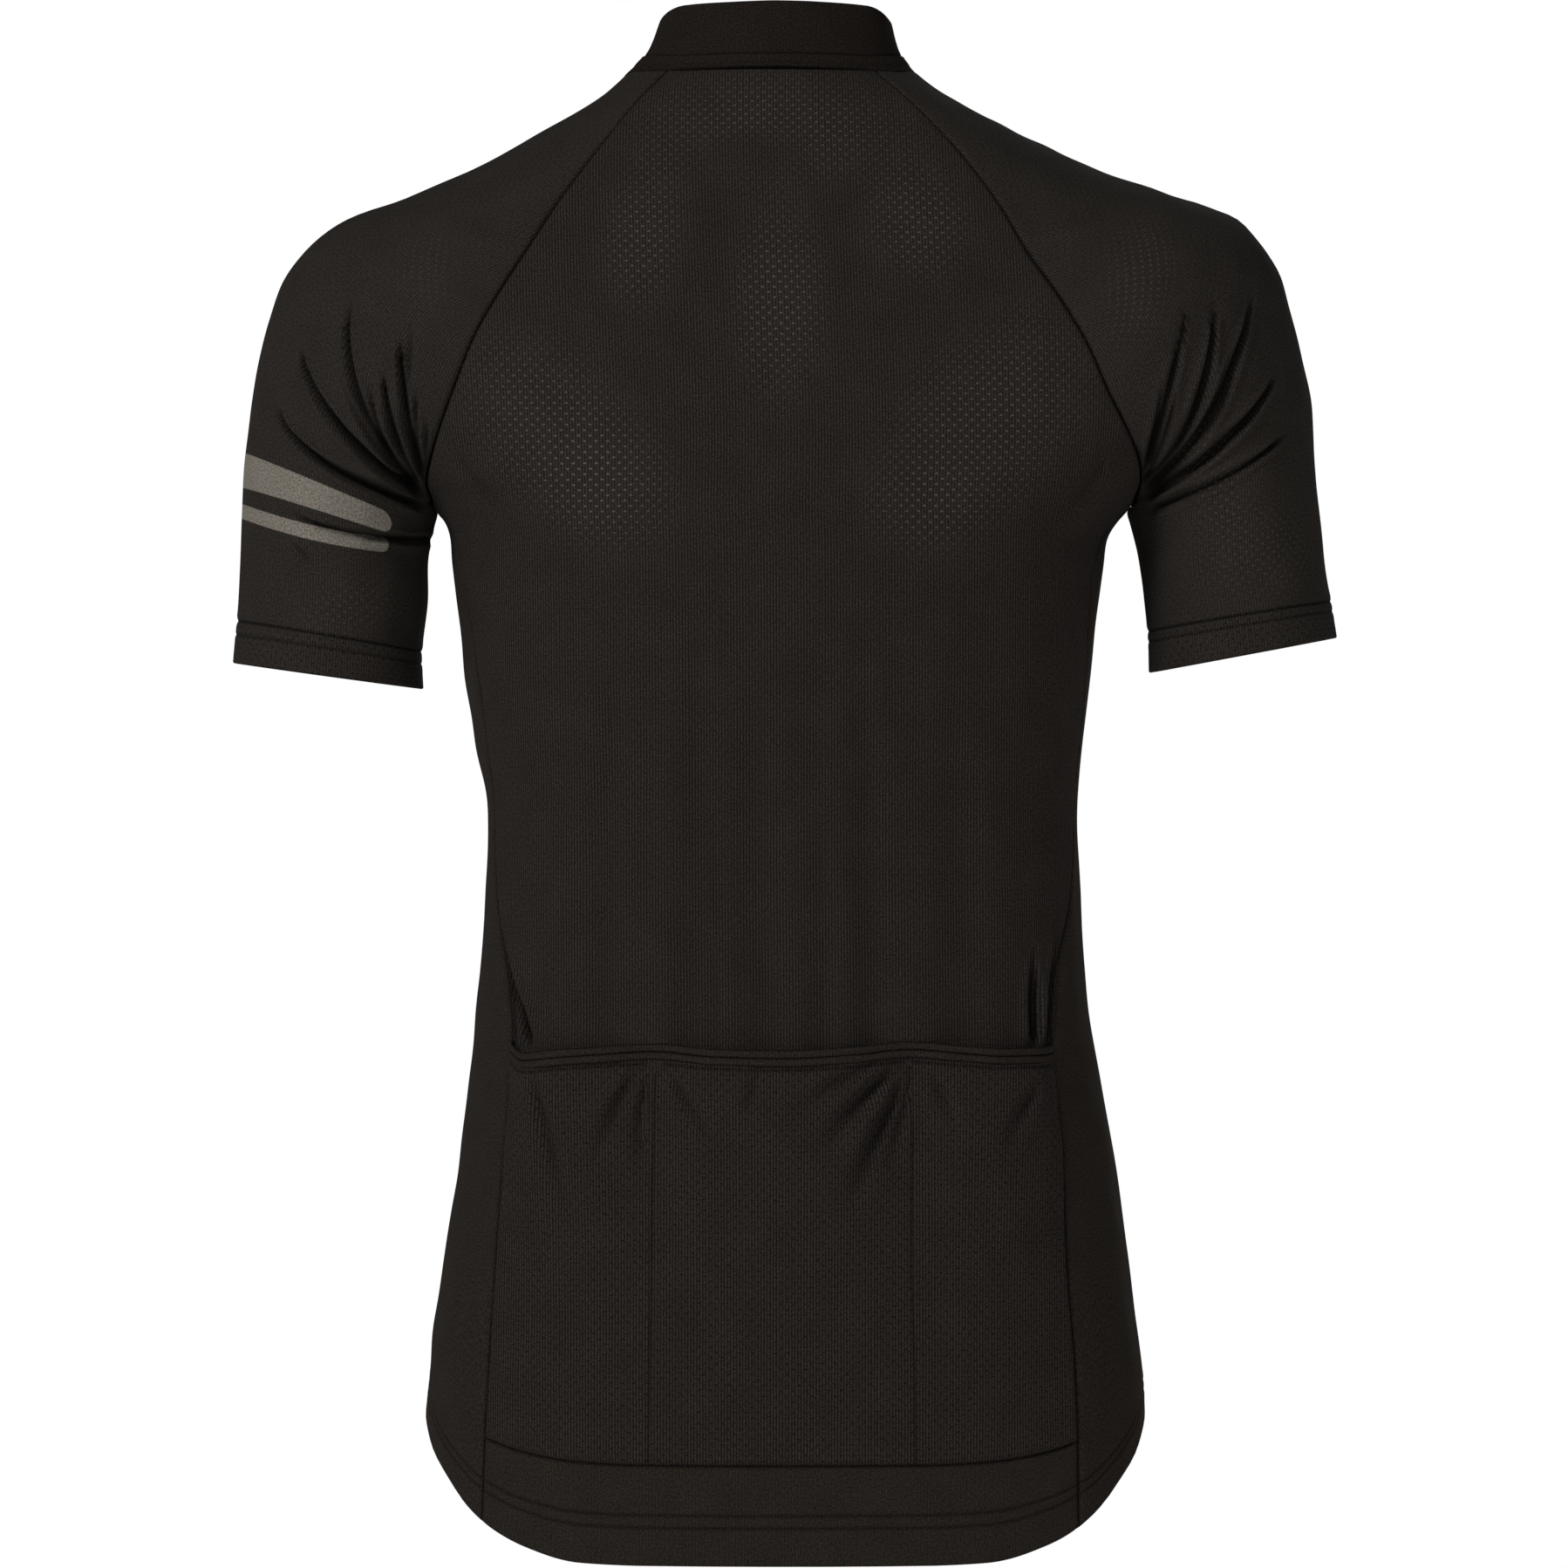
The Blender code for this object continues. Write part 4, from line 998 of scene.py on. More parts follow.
def pick(*pieces: Piece) -> None:
    """Selects these pieces alone, and makes the first the active one."""
    bpy.ops.object.select_all(action="DESELECT")
    for piece in pieces:
        piece.select_set(True)
    bpy.context.view_layer.objects.active = pieces[0]


def make_wall(piece: Piece, thickness: float) -> None:
    """Gives an open surface its thickness inwards, as a closed wall, and shades it smooth."""
    modifier = piece.modifiers.new("wall", "SOLIDIFY")
    modifier.thickness = thickness * MM
    modifier.offset = -1
    pick(piece)
    bpy.ops.object.modifier_apply(modifier="wall")
    bpy.ops.object.shade_smooth_by_angle(angle=math.radians(60))
    piece.select_set(False)


def finish_piece(piece: Piece, dress: Dress, body: str = CLOTH_BODY) -> Piece:
    """Dresses a piece, puts it on its body and hides the solids it stands for."""
    piece.data.materials.clear()
    piece.data.materials.append(dress.material)
    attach(piece, body)
    if dress.nodes:
        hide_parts(*dress.nodes)
    LOG.info("%s: %d faces", piece.name, len(piece.data.polygons))
    return piece


def match(points: Array, edge: Edge, target: Array, reach: float = 16.0) -> None:
    """Moves an edge column of a grid onto a seam's line, and its neighbours less and less."""
    rows = slice(len(points) - len(target), None)
    column = 0 if edge is Edge.START else -1
    shift = target - points[rows, column]
    run = np.linalg.norm(points[rows] - points[rows, column][:, None], axis=2)
    points[rows] += shift[:, None] * smooth(1 - run / reach)[..., None]


def bead() -> Piece:
    """A ball 1 mm across with its poles on the X axis, as the start of a stitch or of a turn of coil."""
    bpy.ops.object.select_all(action="DESELECT")
    bpy.ops.mesh.primitive_uv_sphere_add(segments=6, ring_count=5, radius=0.5, rotation=(0, math.pi / 2, 0))
    bpy.ops.object.transform_apply(location=False, rotation=True, scale=False)
    return bpy.context.active_object


def taken(master: Piece) -> tuple[Array, list[tuple[int, ...]]]:
    """The points and faces of a modelled form, which is removed."""
    points = np.array([vertex.co for vertex in master.data.vertices])
    faces = [tuple(face.vertices) for face in master.data.polygons]
    bpy.data.objects.remove(master, do_unlink=True)
    return points, faces


class Stitching:
    """Sewn thread: one modelled stitch, copied along lines on the cloth."""

    length, width, height = 2.1, 0.42, 0.5      # of one stitch, mm
    pitch = 2.75
    sunk = 0.3              # how far the stitch's ends dip into the cloth

    def __init__(self, material: Material) -> None:
        """Models the master stitch.

        Args:
            material: the thread's finish.
        """
        self.material = material
        master = bead()
        bpy.ops.object.mode_set(mode="EDIT")
        bpy.ops.mesh.select_all(action="SELECT")
        bpy.ops.transform.resize(value=(self.length, self.width, self.height))
        bpy.ops.object.mode_set(mode="OBJECT")
        for vertex in master.data.vertices:
            vertex.select = abs(vertex.co.x) > self.length * 0.36
        bpy.ops.object.mode_set(mode="EDIT")
        bpy.ops.transform.translate(value=(0, 0, -self.sunk))
        bpy.ops.object.mode_set(mode="OBJECT")
        self.form, self.faces = taken(master)

    def sew(self, name: str, courses: Sequence[tuple[Array, Array]], slot: str,
            pitch: Optional[float] = None) -> Piece:
        """Sews along lines on a piece.

        Args:
            name: the thread's piece name.
            courses: the lines, each as points and outward directions.
            slot: the material slot of the cloth it is sewn through.
            pitch: the distance from stitch to stitch, if not the usual one.

        Returns:
            All its stitches as one piece.
        """
        pitch = pitch or self.pitch
        places = []
        for line, outer in courses:
            run = steps_of(line)
            at = np.arange(pitch / 2, run[-1] - pitch / 3, pitch)
            point, up = resample(line, run, at), resample(outer, run, at)
            ahead = resample(line, run, at + pitch / 4) - point
            ahead /= np.linalg.norm(ahead, axis=1, keepdims=True)
            up -= ahead * (up * ahead).sum(1, keepdims=True)
            up /= np.linalg.norm(up, axis=1, keepdims=True)
            frame = np.stack([ahead, np.cross(up, ahead), up], 1)
            places.append(point[:, None] + np.einsum("vk,nkj->nvj", self.form, frame))
        points = np.concatenate(places)
        return joined(name, points, self.faces, Dress(self.material, slot))


def joined(name: str, copies: Array, faces: Sequence[Sequence[int]], dress: Dress) -> Piece:
    """Many copies of one small form, as one piece. copies has one row of points for each."""
    count = copies.shape[1]
    all_faces = [[n + first for n in face] for first in range(0, len(copies) * count, count) for face in faces]
    data = bpy.data.meshes.new(name)
    data.from_pydata((copies.reshape(-1, 3) * MM).tolist(), [], all_faces)
    data.polygons.foreach_set("use_smooth", [True] * len(data.polygons))
    piece = bpy.data.objects.new(name, data)
    bpy.context.scene.collection.objects.link(piece)
    return finish_piece(piece, dress)


# ---------------------------------------------------------------------------------------------------------
# Finishes.
# ---------------------------------------------------------------------------------------------------------

def linear(colour: str) -> tuple[float, float, float, float]:
    """A colour's linear values from its sRGB hex value."""
    parts = [int(colour[k:k + 2], 16) / 255 for k in (1, 3, 5)]
    return (*[p / 12.92 if p <= 0.04045 else ((p + 0.055) / 1.055) ** 2.4 for p in parts], 1.0)


SCALED_SUM = {"operation": "MULTIPLY_ADD"}  # the first input times the second, plus the third
PRODUCT = {"operation": "MULTIPLY"}
BLEND = {"data_type": "RGBA"}           # of a Mix node, for colours


def add(tree: Tree, kind: str, settings: Optional[dict[str, Any]] = None,
        links: Optional[dict[Any, Any]] = None) -> bpy.types.Node:
    """Adds a node to a material.

    Args:
        tree: the material's nodes.
        kind: the node's type, without the leading ShaderNode.
        settings: properties of the node, by name.
        links: values or other nodes' outputs for its inputs, by name or number.

    Returns:
        The new node.
    """
    node = tree.nodes.new("ShaderNode" + kind)
    for name, value in (settings or {}).items():
        setattr(node, name, value)
    for name, value in (links or {}).items():
        if isinstance(value, Socket):
            tree.links.new(value, node.inputs[name])
        else:
            node.inputs[name].default_value = value
    return node


def start_material(name: str) -> tuple[Material, Tree, bpy.types.Node]:
    """A new material with only a Principled shader on its output."""
    material = bpy.data.materials.new(name)
    material.use_nodes = True
    tree = material.node_tree
    return material, tree, tree.nodes["Principled BSDF"]


@dataclass(frozen=True)
class Knit:
    """Circular-knitted polyester and elastane jersey: matt, with fine wales, and painted shade in its seams
    and folds.
    """

    name: str = "polyester_elastane_jersey"
    ground: str = "#27231f"         # dyed black, a little warm
    shaded_valley: str = "#1a1715"         # between the wales: the knit's pattern, with painted shade in their grooves
    rib_pitch: float = 1.1          # mm; coarser than the real 0.6 mm wale, so that it shows
    roughness: float = 0.8

    def build(self) -> Material:
        """Builds the material.

        Returns:
            The material, which reads the UV map "cut" and the attribute "shade".
        """
        material, tree, shader = start_material(self.name)
        flat = add(tree, "UVMap", {"uv_map": "cut"}).outputs["UV"]
        part = add(tree, "SeparateXYZ", None, {0: flat})
        turns = 2 * math.pi / self.rib_pitch
        wave = add(tree, "Math", PRODUCT, {0: part.outputs["X"], 1: turns})
        wale = add(tree, "Math", {"operation": "SINE"}, {0: wave.outputs[0]}).outputs[0]
        uneven = add(tree, "TexNoise", None, {"Vector": flat, "Scale": 0.05, "Detail": 3.0}).outputs[0]
        speck = add(tree, "TexNoise", None, {"Vector": flat, "Scale": 1.0, "Detail": 3.0}).outputs[0]
        # The attribute "shade" is painted shade in creases, folds, seams and stitches: it darkens the colour.
        lines = add(tree, "Attribute", {"attribute_name": "shade"}).outputs["Fac"]
        spans = ((wale, -1.0, 1.0, 0.0, 1.0), (uneven, 0.3, 0.7, 0.93, 1.07), (speck, 0.35, 0.65, 0.62, 1.38),
                 (lines, 0.0, 1.0, 1.0, 0.0))
        names = ("Value", "From Min", "From Max", "To Min", "To Max")
        ribbed, tone, grain, seams = (add(tree, "MapRange", None, dict(zip(names, span))).outputs["Result"]
                                      for span in spans)
        colour = add(tree, "Mix", BLEND, {0: ribbed, 6: linear(self.shaded_valley), 7: linear(self.ground)})
        shade = add(tree, "Math", PRODUCT, {0: tone, 1: grain}).outputs[0]
        shade = add(tree, "Math", PRODUCT, {0: shade, 1: seams}).outputs[0]
        scaled = {0: colour.outputs[2], "Scale": shade}
        toned = add(tree, "VectorMath", {"operation": "SCALE"}, scaled).outputs[0]
        relief = add(tree, "Math", SCALED_SUM, {0: ribbed, 1: 0.25, 2: speck}).outputs[0]
        toned, relief = self.detail(tree, flat, shade, toned, relief)
        bump = add(tree, "Bump", None, {"Strength": 0.13, "Distance": 0.0003, "Height": relief})
        tree.links.new(toned, shader.inputs["Base Color"])
        tree.links.new(bump.outputs[0], shader.inputs["Normal"])
        shader.inputs["Roughness"].default_value = self.roughness
        shader.inputs["Specular IOR Level"].default_value = 0.0
        shader.inputs["Sheen Weight"].default_value = 0.01
        return material

    def detail(self, tree: Tree, flat: Socket, shade: Socket,
               colour: Socket, relief: Socket) -> tuple[Any, Any]:
        """What a kind of knit adds to the colour and the relief: nothing on the plain one."""
        return colour, relief


@dataclass(frozen=True)
class EyeletKnit(Knit):
    """Warp-knitted polyester eyelet mesh: matt, finely ribbed, with staggered small holes."""

    name: str = "polyester_eyelet_knit"
    ground: str = "#2a2623"
    # Between the wales: the knit's pattern, with painted shade in their grooves.
    shaded_valley: str = "#161312"
    hole: str = "#0b0a09"           # an eyelet with another layer behind it: that layer's own black, with painted shade
    light: str = "#4f4941"          # painted light: the pale surroundings seen through an open eyelet
    thin: tuple[float, float] = (0.86, 0.05)    # how strongly the painted light shows in an open hole, and round it
    rib_pitch: float = 1.5
    pitch: float = 5.8              # mm between eyelets in a row
    row: float = 5.3                # mm between every second row
    hole_size: tuple[float, float] = (1.7, 1.05)
    hole_colour_and_shade: float = 0.55        # how strongly closed eyelets show, with their painted shade

    def detail(self, tree: Tree, flat: Socket, shade: Socket,
               colour: Socket, relief: Socket) -> tuple[Any, Any]:
        """Adds the eyelets, with painted light where the attribute "open" says so, and dark elsewhere, partly
        painted shade.
        """
        first, second = (self.eyelets(tree, flat, shift) for shift in (0.0, 0.5))
        gap = add(tree, "Math", {"operation": "MINIMUM"}, {0: first, 1: second}).outputs[0]
        hole = add(tree, "MapRange", {"interpolation_type": "SMOOTHSTEP"},
                   {"Value": gap, "From Min": 1.15, "From Max": 0.7}).outputs["Result"]
        # Closed eyelets: the colour of the layer behind, with painted shade.
        shut = add(tree, "Math", PRODUCT, {0: hole, 1: self.hole_colour_and_shade}).outputs[0]
        dark = add(tree, "Mix", BLEND, {0: shut, 6: colour, 7: linear(self.hole)}).outputs[2]
        # Open eyelets: painted light of the pale surroundings seen through them.
        share = add(tree, "Attribute", {"attribute_name": "open"}).outputs["Fac"]
        lit = add(tree, "Math", SCALED_SUM, {0: hole, 1: self.thin[0], 2: self.thin[1]}).outputs[0]
        lit = add(tree, "Math", PRODUCT, {0: lit, 1: share}).outputs[0]
        colour = add(tree, "Mix", BLEND, {0: lit, 6: dark, 7: linear(self.light)}).outputs[2]
        return colour, add(tree, "Math", SCALED_SUM, {0: hole, 1: -0.4, 2: relief}).outputs[0]

    def eyelets(self, tree: Tree, flat: Socket, shift: float) -> Socket:
        """The distance from the nearest eyelet of one of the two staggered lattices, in its half sizes."""
        cell = add(tree, "VectorMath", SCALED_SUM,
                   {0: flat, 1: (1 / self.pitch, 1 / self.row, 0), 2: (shift, shift, 0)}).outputs[0]
        part = add(tree, "VectorMath", {"operation": "FRACTION"}, {0: cell}).outputs[0]
        scale = (2 * self.pitch / self.hole_size[0], 2 * self.row / self.hole_size[1], 0)
        offset = (-scale[0] / 2, -scale[1] / 2, 0)
        place = add(tree, "VectorMath", SCALED_SUM, {0: part, 1: scale, 2: offset}).outputs[0]
        return add(tree, "VectorMath", {"operation": "LENGTH"}, {0: place}).outputs["Value"]


class Stripe(NamedTuple):
    """A printed bar on the left sleeve: its inner end, its rise towards the outer arm, and its half width."""

    end_x: float
    end_z: float
    slope: float
    bend: float
    half: float
    taper: float            # how fast the half width grows from the inner end


STRIPES = (
    Stripe(195.5, -230.1, 0.369, 0.0, 5.4, 0.05),
    Stripe(197.0, -242.3, 0.095, 0.0021, 3.7, 0.0),
)
BAR_EDGE = 0.25         # half the width of a printed bar's soft edge, mm


@dataclass(frozen=True)
class PrintedKnit(EyeletKnit):
    """The eyelet mesh with two bars of grey reflective film, printed round the outer arm."""

    name: str = "polyester_eyelet_knit_with_film_stripes"
    ground: str = "#282522"
    shaded_valley: str = "#1d1a18"         # the stretched ribs stand less high, so less shade is painted between them
    film: str = "#625d56"

    def detail(self, tree: Tree, flat: Socket, shade: Socket,
               colour: Socket, relief: Socket) -> tuple[Any, Any]:
        """Adds the bars over the eyelets."""
        colour, relief = super().detail(tree, flat, shade, colour, relief)
        # The film gets the knit's random tone and its painted shade.
        scaled = {0: linear(self.film)[:3], "Scale": shade}
        grey = add(tree, "VectorMath", {"operation": "SCALE"}, scaled).outputs[0]
        film = self.bars(tree)
        return add(tree, "Mix", BLEND, {0: film, 6: colour, 7: grey}).outputs[2], relief

    @staticmethod
    def bars(tree: Tree) -> Socket:
        """1 on the bars, which have rounded inner ends, from Object x and z."""
        part = add(tree, "SeparateXYZ", None, {0: add(tree, "TexCoord").outputs["Object"]})
        bars = []
        for stripe in STRIPES:
            reach = {0: part.outputs["X"], 1: 1 / MM, 2: -stripe.end_x - stripe.half}
            run = add(tree, "Math", SCALED_SUM, reach).outputs[0]
            square = add(tree, "Math", PRODUCT, {0: run, 1: run}).outputs[0]
            line = add(tree, "Math", SCALED_SUM, {0: run, 1: stripe.slope, 2: stripe.end_z}).outputs[0]
            middle = add(tree, "Math", SCALED_SUM, {0: square, 1: stripe.bend, 2: line}).outputs[0]
            down = add(tree, "Math", PRODUCT, {0: middle, 1: -1.0}).outputs[0]
            off = add(tree, "Math", SCALED_SUM, {0: part.outputs["Z"], 1: 1 / MM, 2: down}).outputs[0]
            past, inner = (add(tree, "Math", {"operation": side}, {0: run, 1: 0.0}).outputs[0]
                           for side in ("MINIMUM", "MAXIMUM"))
            both = add(tree, "CombineXYZ", None, {0: past, 1: off}).outputs[0]
            length = add(tree, "VectorMath", {"operation": "LENGTH"}, {0: both}).outputs["Value"]
            gap = add(tree, "Math", SCALED_SUM, {0: inner, 1: -stripe.taper, 2: length}).outputs[0]
            ends = {"Value": gap, "From Min": stripe.half + BAR_EDGE, "From Max": stripe.half - BAR_EDGE}
            bars.append(add(tree, "MapRange", None, ends).outputs["Result"])
        return add(tree, "Math", {"operation": "MAXIMUM"}, dict(enumerate(bars))).outputs[0]


@dataclass(frozen=True)
class TapeWeave:
    """Woven polyester zip tape: matt, with a fine diagonal."""

    name: str = "polyester_zip_tape"
    dark: str = "#0d0c0c"
    pale: str = "#1b1919"
    pitch: float = 0.9          # mm from ridge to ridge

    def build(self) -> Material:
        """Builds the material, which reads the UV map "cut"."""
        material, tree, shader = start_material(self.name)
        flat = add(tree, "UVMap", {"uv_map": "cut"}).outputs["UV"]
        part = add(tree, "SeparateXYZ", None, {0: flat})
        both = {0: part.outputs["X"], 1: part.outputs["Y"]}
        slant = add(tree, "Math", {"operation": "ADD"}, both).outputs[0]
        wave = add(tree, "Math", PRODUCT, {0: slant, 1: 2 * math.pi / self.pitch}).outputs[0]
        ridge = add(tree, "Math", {"operation": "SINE"}, {0: wave}).outputs[0]
        span = {"Value": ridge, "From Min": -1.0, "From Max": 1.0}
        ridge = add(tree, "MapRange", None, span).outputs["Result"]
        colour = add(tree, "Mix", BLEND, {0: ridge, 6: linear(self.dark), 7: linear(self.pale)})
        bump = add(tree, "Bump", None, {"Strength": 0.3, "Distance": 0.0003, "Height": ridge})
        tree.links.new(colour.outputs[2], shader.inputs["Base Color"])
        tree.links.new(bump.outputs[0], shader.inputs["Normal"])
        shader.inputs["Roughness"].default_value = 0.85
        return material


@dataclass(frozen=True)
class Smooth:
    """A smooth, plain finish, such as nylon coil or sewing thread."""

    name: str
    colour: str
    roughness: float
    sheen: float = 0.0

    def build(self) -> Material:
        """Builds the material."""
        material, tree, shader = start_material(self.name)
        shader.inputs["Base Color"].default_value = linear(self.colour)
        shader.inputs["Roughness"].default_value = self.roughness
        shader.inputs["Sheen Weight"].default_value = self.sheen
        return material


@dataclass(frozen=True)
class EnamelledZinc:
    """Die-cast zinc with satin black enamel, a little worn on its faces."""

    name: str = "black_enamelled_zinc"
    enamel: str = "#161517"
    rubbed: str = "#2c2b2d"

    def build(self) -> Material:
        """Builds the material, which reads Object coordinates."""
        material, tree, shader = start_material(self.name)
        place = add(tree, "TexCoord").outputs["Object"]
        spots = add(tree, "TexNoise", None, {"Vector": place, "Scale": 900.0, "Detail": 4.0}).outputs[0]
        colour = add(tree, "Mix", BLEND, {0: spots, 6: linear(self.enamel), 7: linear(self.rubbed)})
        rough = add(tree, "MapRange", None, {"Value": spots, "To Min": 0.44, "To Max": 0.6}).outputs["Result"]
        tree.links.new(colour.outputs[2], shader.inputs["Base Color"])
        tree.links.new(rough, shader.inputs["Roughness"])
        shader.inputs["Specular IOR Level"].default_value = 0.3
        return material


# ---------------------------------------------------------------------------------------------------------
# The pattern: all panels' grids on the worn form.
# ---------------------------------------------------------------------------------------------------------

class Pattern:
    """The panels' grids, whose edges meet along shared seam lines."""

    back_width, front_width, side_width, over_width = 350.0, 176.0, 90.0, 300.0
    over_arm = ((0, 0.8), (5, 3.3), (158, 1.6), (295, 0.8), (300, 0))       # columns, in mm: place and step
    underarm_columns = 20

    def __init__(self, form: Form) -> None:
        """Lofts every panel over the form.

        Args:
            form: the worn form.
        """
        self.form = form
        levels, knots, armpit = form.levels, form.knots, form.knots[form.armpit]
        self.tail = self.row_of(knots[TAIL_ROW])
        self.arm = self.row_of(armpit)
        self.back_columns = form.spread(self.back_width, form.coarse, 34) * 2 - 1
        self.back = loft(form.back(self.back_columns), knots, levels)
        self.fronts: dict[Side, Array] = {}
        self.sides: dict[Side, Array] = {}
        self.tubes: dict[Side, Array] = {}
        self.caps: dict[Side, Array] = {}
        self.seams: dict[tuple[str, Side], Array] = {}
        for side in Side:
            self.add_side(side, levels, knots)
            self.add_sleeve(side)

    def row_of(self, level: float) -> int:
        """The row that lies on a level."""
        return int(np.argmin(np.abs(self.form.levels - level)))

    def place_of(self, level: Array) -> Array:
        """Rows, in fractions, of levels."""
        return np.interp(level, self.form.levels, np.arange(len(self.form.levels)))

    def add_side(self, side: Side, levels: Array, knots: Array) -> None:
        """Lofts a front and a side panel, and keeps their seam lines."""
        form, arm = self.form, self.arm
        front = loft(form.front(side, form.spread(self.front_width, form.coarse)), knots, levels)
        panel = loft(form.side(side, form.spread(self.side_width, form.coarse)), knots[:form.armpit + 1],
                     levels[:arm + 1])
        back_edge = self.back[:, -1 if side is Side.LEFT else 0]
        match(panel, Edge.START, back_edge[:arm + 1])
        match(panel, Edge.END, front[:arm + 1, -1])
        self.fronts[side], self.sides[side] = front, panel
        self.seams["back_side", side], self.seams["back_raglan", side] = back_edge[:arm + 1], back_edge[arm:]
        self.seams["front_side", side], self.seams["front_raglan", side] = front[:arm + 1, -1], front[arm:, -1]
        self.seams["underarm", side] = panel[-1]

    def add_sleeve(self, side: Side) -> None:
        """Lofts a sleeve: a tube up to the armpit, and a cap over the shoulder."""
        form = self.form
        over = form.stations([(at / self.over_width, step / self.over_width) for at, step in self.over_arm])
        under = np.linspace(0, 1, self.underarm_columns)
        rings = np.array([np.concatenate([form.over_arm(side, row, over), form.underarm(side, row, under)[1:]])
                          for row in range(ARMPIT + 1)])
        arcs = np.array([form.over_arm(side, row, over) for row in range(ARMPIT + 1, len(ARCS))])
        upper = form.knots[form.armpit:]
        below = upper[0] - steps_of(rings.mean(1)[::-1])[::-1][:-1]
        knots = np.concatenate([below, upper])
        low = form.stations([(below[0], form.fine), (below[1], form.fine), (below[1] + 8, form.middling),
                             (upper[0] - 30, form.close), (upper[0], 0)])
        levels = np.concatenate([low, form.cap_levels[1:]])
        over_rows = loft(np.concatenate([rings[:, :len(over)], arcs]), knots, levels)
        under_rows = loft(rings[:, len(over) - 1:], knots[:ARMPIT + 1], low)
        match(under_rows, Edge.START, over_rows[:len(low), -1])
        match(under_rows, Edge.END, over_rows[:len(low), 0])
        for edge, control in ((Edge.START, form.front(side, np.array([1.0]))),
                              (Edge.END, form.back(np.array([float(side.value)])))):
            match(over_rows, edge, loft(control, form.knots, form.cap_levels)[:, 0])
        self.tubes[side] = np.concatenate([over_rows[:len(low)], under_rows[:, 1:]], axis=1)
        self.caps[side] = over_rows[len(low) - 1:]
        self.cuff_row = int(np.argmin(np.abs(low - below[1])))
        self.seams["cuff", side] = self.tubes[side][self.cuff_row]

    def neck(self) -> Array:
        """The neck seam, from the zip's left edge round the back to its right edge."""
        left, right = Side.LEFT, Side.RIGHT
        line = np.concatenate([self.fronts[left][-1], self.caps[left][-1][1:], self.back[-1][::-1][1:],
                               self.caps[right][-1][::-1][1:], self.fronts[right][-1][::-1][1:]])
        run = steps_of(line)
        at = self.form.spread(run[-1], self.form.coarse) * run[-1]
        return resample(line, run, at)

    def collar(self, heights: Array) -> Array:
        """The collar's rows, at heights from 0 at its foot, through 1 at the band's top, to 3 at its own."""
        foot = self.neck()
        rows = [foot]
        around = foot[:, :2] - (NECK_MIDDLE, 0)
        depth = np.where(around[:, 1] > 0, YOKE[-1].back_y, YOKE[-1].front_y)
        degrees = np.degrees(np.arctan2(np.abs(around[:, 0]) / NECK_HALF, around[:, 1] / depth))
        rise, lean = read(COLLAR, "angle", degrees, "rise"), read(COLLAR, "angle", degrees, "lean")
        unit = around / np.linalg.norm(around, axis=1, keepdims=True)
        at_zip = (np.abs(around[:, 0]) < 2 * ZIP_HALF) & (around[:, 1] < 0)
        lifts = [(np.full_like(rise, BAND_RISE), BAND_LEAN), *((rise * h, s) for h, s in COLLAR_ROWS)]
        for lift, share in lifts:
            inward = -unit * (lean * share)[:, None]
            inward[at_zip, 0] = 0
            rows.append(foot + np.column_stack([inward[:, 0] + COLLAR_SHIFT * share, inward[:, 1], lift]))
        middle = len(foot) // 2
        knots = steps_of(np.array(rows)[:, middle])
        below = np.minimum(heights, 0) * knots[1]
        return loft(np.array(rows), knots, np.interp(heights, np.arange(len(rows)), knots) + below)


@dataclass
class Finishes:
    """The garment's materials, each built once, and its sewing thread."""

    eyelet: Material
    stretched: Material
    printed: Material
    plain: Material
    tape: Material
    collar: Material
    coil: Material
    metal: Material
    sewing: Stitching

    @classmethod
    def build(cls) -> "Finishes":
        """Builds every finish."""
        return cls(eyelet=EyeletKnit().build(), printed=PrintedKnit().build(), plain=Knit().build(),
                   stretched=EyeletKnit("stretched_polyester_eyelet_knit", "#282522", "#1d1a18").build(),
                   # The collar and band: the plain knit, darker.
                   collar=Knit("brushed_polyester_elastane_jersey", "#1e1a17", "#151210").build(),
                   tape=TapeWeave().build(),
                   coil=Smooth("nylon_zip_coil", "#100f10", 0.38).build(),
                   metal=EnamelledZinc().build(),
                   sewing=Stitching(Smooth("polyester_thread", "#141110", 0.5, sheen=0.3).build()))


# ---------------------------------------------------------------------------------------------------------
# Sub-assemblies.
# ---------------------------------------------------------------------------------------------------------

